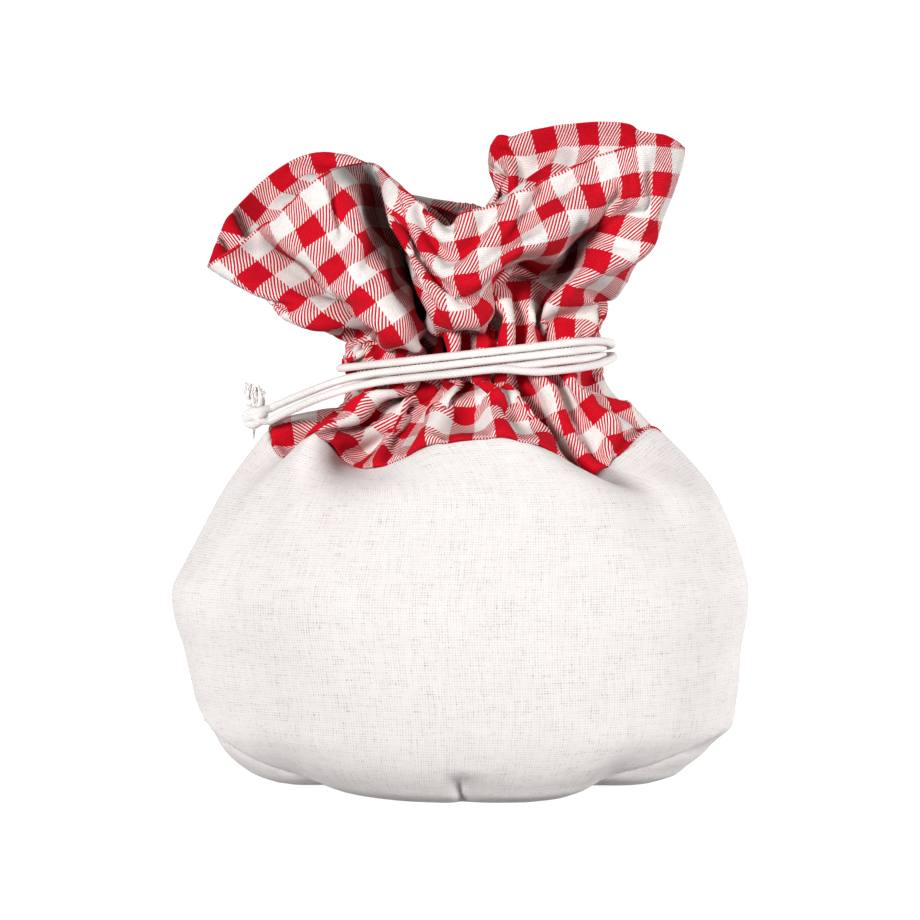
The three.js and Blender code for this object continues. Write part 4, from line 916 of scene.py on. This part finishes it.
# ---------------------------------------------------------------- materials
class Nodes:
    """small helper that wires shader nodes"""

    def __init__(self, name):
        self.mat = bpy.data.materials.new(name)
        self.mat.use_nodes = True
        self.t = self.mat.node_tree
        self.t.nodes.clear()
        self.out = self.t.nodes.new("ShaderNodeOutputMaterial")
        self.bsdf = self.t.nodes.new("ShaderNodeBsdfPrincipled")
        self.t.links.new(self.bsdf.outputs[0], self.out.inputs[0])

    def put(self, sock, v):
        if hasattr(v, "is_output") or hasattr(v, "links"):
            self.t.links.new(v, sock)
        else:
            sock.default_value = v

    def math(self, op, a, b=None, c=None, clamp=False):
        n = self.t.nodes.new("ShaderNodeMath")
        n.operation = op
        n.use_clamp = clamp
        for k, v in enumerate((a, b, c)):
            if v is not None:
                self.put(n.inputs[k], v)
        return n.outputs[0]

    def mix(self, f, a, b):
        n = self.t.nodes.new("ShaderNodeMix")
        n.data_type = "RGBA"
        self.put(n.inputs[0], f)
        self.put(n.inputs[6], a)
        self.put(n.inputs[7], b)
        return n.outputs[2]

    def step(self, x, lo, hi, a=0.0, b=1.0, smooth=True):
        n = self.t.nodes.new("ShaderNodeMapRange")
        n.interpolation_type = "SMOOTHSTEP" if smooth else "LINEAR"
        self.put(n.inputs[0], x)
        for k, v in enumerate((lo, hi, a, b)):
            n.inputs[1 + k].default_value = v
        return n.outputs[0]

    def noise(self, vec, scale, detail=2.0, rough=0.5, dims="3D"):
        n = self.t.nodes.new("ShaderNodeTexNoise")
        n.noise_dimensions = dims
        self.put(n.inputs["Vector"], vec)
        n.inputs["Scale"].default_value = scale
        n.inputs["Detail"].default_value = detail
        n.inputs["Roughness"].default_value = rough
        return n.outputs[0]

    def scaled(self, vec, v):
        n = self.t.nodes.new("ShaderNodeMapping")
        self.put(n.inputs[0], vec)
        n.inputs["Scale"].default_value = v
        return n.outputs[0]

    def uv(self, name="cloth"):
        n = self.t.nodes.new("ShaderNodeUVMap")
        n.uv_map = name
        s = self.t.nodes.new("ShaderNodeSeparateXYZ")
        self.t.links.new(n.outputs[0], s.inputs[0])
        return n.outputs[0], s.outputs[0], s.outputs[1]

    def bump(self, height, strength, distance):
        n = self.t.nodes.new("ShaderNodeBump")
        n.inputs["Strength"].default_value = strength
        n.inputs["Distance"].default_value = distance
        self.put(n.inputs["Height"], height)
        self.t.links.new(n.outputs[0], self.bsdf.inputs["Normal"])


def gingham_material():
    m = Nodes("gingham_cotton")
    uv, u, v = m.uv()                                   # both in checks
    # a thread is a little uneven, so stripe edges wander slightly
    wob = m.noise(m.scaled(uv, (14.0, 14.0, 1.0)), 1.0, 2.0)
    uu = m.math("ADD", u, m.math("MULTIPLY", m.math("SUBTRACT", wob, 0.5), 0.05))
    wob2 = m.noise(m.scaled(uv, (11.0, 17.0, 1.0)), 1.3, 2.0)
    vv = m.math("ADD", v, m.math("MULTIPLY", m.math("SUBTRACT", wob2, 0.5), 0.05))

    def stripes(x, shift):                              # 1 on red stripes, 0 on white, soft edge of about one thread
        t = m.math("PINGPONG", m.math("ADD", x, shift), 1.0)
        return m.step(t, 0.485, 0.515)

    warp = stripes(uu, STRIPE_U)
    weft = stripes(vv, STRIPE_V)
    # twill: diagonal floats, warp over weft by turns
    diag = m.math("FRACT", m.math("ADD", m.math("MULTIPLY", u, TWILL_U), m.math("MULTIPLY", v, TWILL_V)))
    tri = m.math("ABSOLUTE", m.math("SUBTRACT", diag, 0.5))
    over = m.step(tri, 0.20, 0.30)
    red = m.math("ADD", m.math("MULTIPLY", warp, over), m.math("MULTIPLY", weft, m.math("SUBTRACT", 1.0, over)))
    fine = m.noise(m.scaled(uv, (60.0, 60.0, 1.0)), 1.0, 3.0, 0.6)
    broad = m.noise(m.scaled(uv, (2.2, 2.2, 1.0)), 1.0, 2.0)
    # painted shade and random tone: the colour is darker between the yarns, and on some yarns at random
    pu = m.math("ABSOLUTE", m.math("SINE", m.math("MULTIPLY", m.math("ADD", uu, m.math("MULTIPLY", v, 0.5)), math.pi * YARNS_U)))
    pv = m.math("ABSOLUTE", m.math("SINE", m.math("MULTIPLY", vv, math.pi * YARNS_V)))
    yarn = m.math("MULTIPLY", m.math("MULTIPLY", pu, pv), m.step(m.noise(m.scaled(uv, (24.0, 24.0, 1.0)), 1.0, 2.0, 0.6), 0.25, 0.6, 0.35, 1.0))
    red_c = m.mix(m.step(yarn, 0.05, 0.75), RED_DARK, RED_LIGHT)
    white_c = m.mix(m.step(yarn, 0.0, 0.55), WHITE_DARK, WHITE_LIGHT)
    col = m.mix(red, white_c, red_c)
    # painted shade: the colour is a little darker in the grooves between the twill floats
    groove = m.math("MULTIPLY", m.step(tri, 0.16, 0.25), m.step(tri, 0.25, 0.34, 1.0, 0.0))
    shade = m.math("SUBTRACT", 1.0, m.math("MULTIPLY", groove, 0.10))
    shade = m.math("MULTIPLY", shade, m.step(broad, 0.2, 0.8, 0.95, 1.03))
    # painted shade: the cloth colour is darkened inside the deep folds
    deep = m.t.nodes.new("ShaderNodeAttribute")          # cloth inside the deep folds
    deep.attribute_name = "painted_shade"
    shade = m.math("MULTIPLY", shade, m.math("SUBTRACT", 1.0, deep.outputs["Fac"]))
    # painted shade (grooves, deep folds) and random tone multiplied into the check colours
    n = m.t.nodes.new("ShaderNodeMix")
    n.data_type = "RGBA"
    n.blend_type = "MULTIPLY"
    n.inputs[0].default_value = 1.0
    m.put(n.inputs[6], col)
    g = m.t.nodes.new("ShaderNodeCombineColor")
    for k in range(3):
        m.put(g.inputs[k], shade)
    m.put(n.inputs[7], g.outputs[0])
    m.put(m.bsdf.inputs["Base Color"], n.outputs[2])
    m.put(m.bsdf.inputs["Roughness"], m.step(fine, 0.2, 0.8, 0.78, 0.92))
    m.bsdf.inputs["Specular IOR Level"].default_value = 0.15
    m.bsdf.inputs["Sheen Weight"].default_value = 0.01
    m.bsdf.inputs["Sheen Roughness"].default_value = 0.5
    height = m.math("ADD", m.math("MULTIPLY", m.math("SUBTRACT", 1.0, groove), 0.6), m.math("MULTIPLY", yarn, 0.6))
    m.bump(height, 0.5, 0.00025)
    return m.mat


def linen_material():
    m = Nodes("linen_weave")
    uv, u, v = m.uv()
    tau = 2 * math.pi
    slub_u = m.noise(m.scaled(uv, (26.0, 0.9, 1.0)), 1.0, 2.0, 0.6)
    slub_v = m.noise(m.scaled(uv, (0.9, 26.0, 1.0)), 1.0, 2.0, 0.6)
    x = m.math("ADD", m.math("MULTIPLY", u, LINEN_YARNS), m.math("MULTIPLY", slub_u, 1.5))
    y = m.math("ADD", m.math("MULTIPLY", v, LINEN_YARNS), m.math("MULTIPLY", slub_v, 1.5))
    sx = m.math("SINE", m.math("MULTIPLY", x, tau / 2))
    sy = m.math("SINE", m.math("MULTIPLY", y, tau / 2))
    # plain weave: warp and weft swap places on a chequer of threads
    ax, ay = m.math("ABSOLUTE", sx), m.math("ABSOLUTE", sy)
    swap = m.step(m.math("MULTIPLY", m.math("SINE", m.math("MULTIPLY", x, tau / 2)), m.math("SINE", m.math("MULTIPLY", y, tau / 2))), -0.25, 0.25)
    thread = m.math("ADD", m.math("MULTIPLY", ax, swap), m.math("MULTIPLY", ay, m.math("SUBTRACT", 1.0, swap)))
    hole = m.math("MULTIPLY", m.step(ax, 0.75, 0.1), m.step(ay, 0.75, 0.1))
    fine = m.noise(m.scaled(uv, (50.0, 50.0, 1.0)), 1.0, 3.0, 0.65)
    patch = m.noise(m.scaled(uv, (0.55, 0.75, 1.0)), 1.0, 3.0, 0.55)
    fleck = m.noise(m.scaled(uv, (9.0, 30.0, 1.0)), 1.0, 2.0, 0.6)
    c = m.mix(m.step(patch, 0.3, 0.7), LINEN_A, LINEN_B)
    c = m.mix(m.math("MULTIPLY", m.step(slub_v, 0.52, 0.74), 0.26), c, LINEN_THREAD)
    c = m.mix(m.math("MULTIPLY", m.step(slub_u, 0.54, 0.76), 0.20), c, LINEN_THREAD)
    c = m.mix(m.math("MULTIPLY", m.step(fleck, 0.62, 0.76), 0.40), c, LINEN_FLECK_AND_GAP_SHADE)
    # painted shade: darker between the threads of the weave
    c = m.mix(m.math("MULTIPLY", m.math("SUBTRACT", 1.0, thread), 0.30), c, LINEN_FLECK_AND_GAP_SHADE)
    # painted shade seen through the openings between threads, in some places more than others
    open_ = m.step(m.noise(m.scaled(uv, (1.6, 2.2, 1.0)), 1.0, 3.0, 0.7), 0.34, 0.62, 0.35, 1.0)
    odd = m.step(m.noise(m.scaled(uv, (7.0, 7.0, 1.0)), 1.0, 2.0, 0.6), 0.32, 0.66, 0.1, 1.0)
    c = m.mix(m.math("MULTIPLY", m.math("MULTIPLY", hole, open_), odd), c, LINEN_HOLE_SHADE)
    m.put(m.bsdf.inputs["Base Color"], c)
    m.put(m.bsdf.inputs["Roughness"], m.step(fine, 0.2, 0.8, 0.85, 0.97))
    m.bsdf.inputs["Specular IOR Level"].default_value = 0.2
    m.bsdf.inputs["Sheen Weight"].default_value = 0.1
    m.bsdf.inputs["Sheen Roughness"].default_value = 0.6
    h = m.math("ADD", m.math("MULTIPLY", thread, 0.7), m.math("MULTIPLY", fine, 0.4))
    h = m.math("ADD", h, m.math("MULTIPLY", slub_v, 0.8))
    m.bump(h, 0.5, 0.0003)
    return m.mat


def cord_material():
    m = Nodes("cotton_cord")
    uv, u, v = m.uv()                                    # along and round, in cm
    a = m.math("MULTIPLY", m.math("ADD", u, v), 6.2)
    b = m.math("MULTIPLY", m.math("SUBTRACT", u, v), 6.2)
    pa = m.math("ABSOLUTE", m.math("SINE", m.math("MULTIPLY", a, math.pi)))
    pb = m.math("ABSOLUTE", m.math("SINE", m.math("MULTIPLY", b, math.pi)))
    braid = m.math("MULTIPLY", m.step(pa, 0.0, 0.6), m.step(pb, 0.0, 0.6))
    fine = m.noise(m.scaled(uv, (40.0, 40.0, 1.0)), 1.0, 3.0, 0.6)
    broad = m.noise(m.scaled(uv, (1.5, 3.0, 1.0)), 1.0, 2.0)
    # painted shade: darker in the grooves between the braid's strands
    c = m.mix(m.math("MULTIPLY", m.math("SUBTRACT", 1.0, braid), 0.35), CORD_LIGHT, CORD_GROOVE_SHADE)
    c = m.mix(m.math("MULTIPLY", m.step(broad, 0.45, 0.8), 0.35), c, CORD_WARM)
    m.put(m.bsdf.inputs["Base Color"], c)
    m.put(m.bsdf.inputs["Roughness"], m.step(fine, 0.2, 0.8, 0.8, 0.95))
    m.bsdf.inputs["Specular IOR Level"].default_value = 0.2
    m.bsdf.inputs["Sheen Weight"].default_value = 0.15
    m.bsdf.inputs["Sheen Roughness"].default_value = 0.5
    m.bump(m.math("ADD", m.math("MULTIPLY", braid, 0.8), m.math("MULTIPLY", fine, 0.5)), 0.5, 0.0003)
    return m.mat


gingham.data.materials.append(gingham_material())
linen.data.materials.append(linen_material())
cord_mat = cord_material()
cord.data.materials.append(cord_mat)
knot.data.materials.append(cord_mat)

# ---------------------------------------------------------------- the pieces in the frame
for piece, node, slot in ((gingham, "gingham_top", "gingham"), (linen, "linen_pouch", "linen"), (cord, "tie_cord", "cord"), (knot, "tie_knot", "cord")):
    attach(piece, "root")
    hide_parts(node)

# ---------------------------------------------------------------- floor, light
floor_me = bpy.data.meshes.new("floor")
floor_me.from_pydata([(-6, -6, 0), (6, -6, 0), (6, 6, 0), (-6, 6, 0)], [], [(0, 1, 2, 3)])
floor = bpy.data.objects.new("floor", floor_me)
scene.collection.objects.link(floor)
fm = Nodes("pale_floor")
fg = fm.t.nodes.new("ShaderNodeNewGeometry")
fm.put(fm.bsdf.inputs["Base Color"], fm.mix(fm.noise(fg.outputs["Position"], 3.0, 2.0), (0.93, 0.93, 0.93, 1), (0.97, 0.97, 0.97, 1)))
fm.bsdf.inputs["Roughness"].default_value = 0.9
fm.bsdf.inputs["Specular IOR Level"].default_value = 0.1
fm.bsdf.inputs["Emission Color"].default_value = (1, 1, 1, 1)
reach = fm.t.nodes.new("ShaderNodeVectorMath")
reach.operation = "LENGTH"
fm.put(reach.inputs[0], fg.outputs["Position"])
fm.put(fm.bsdf.inputs["Emission Strength"], fm.step(reach.outputs["Value"], 0.25, 1.3, FLOOR_NEAR, FLOOR_FAR))
floor_me.materials.append(fm.mat)
floor.visible_diffuse = False

world = bpy.data.worlds.new("studio")
world.use_nodes = True
wt = world.node_tree
way = wt.nodes.new("ShaderNodeTexCoord")
sep = wt.nodes.new("ShaderNodeSeparateXYZ")
wt.links.new(way.outputs["Generated"], sep.inputs[0])
grade = wt.nodes.new("ShaderNodeMapRange")                # bright behind the bag, dimmer from the front
wt.links.new(sep.outputs[1], grade.inputs[0])
for k, v in enumerate((0.1, 0.7, WORLD_FRONT, WORLD_BACK)):
    grade.inputs[1 + k].default_value = v
wt.nodes["Background"].inputs[0].default_value = (1, 1, 1, 1)
wt.links.new(grade.outputs[0], wt.nodes["Background"].inputs[1])
scene.world = world
lit = {"gingham": (gingham,), "plain": (linen, cord, knot, floor)}
groups = {}
for name, pieces in lit.items():
    groups[name] = bpy.data.collections.new("lit " + name)
    for ob in pieces:
        groups[name].objects.link(ob)
for name, loc, target, size, power, lights in LAMPS:
    ld = bpy.data.lights.new(name, "AREA")
    ld.shape = "DISK"
    ld.size = size
    ld.energy = power
    lo = bpy.data.objects.new(name, ld)
    lo.location = loc
    lo.rotation_euler = (Vector(target) - Vector(loc)).to_track_quat("-Z", "Y").to_euler()
    scene.collection.objects.link(lo)
    lo.light_linking.receiver_collection = groups[lights]
scene.view_settings.view_transform = "Standard"
scene.view_settings.look = "None"
scene.view_settings.gamma = CONTRAST
scene.view_settings.exposure = EXPOSURE
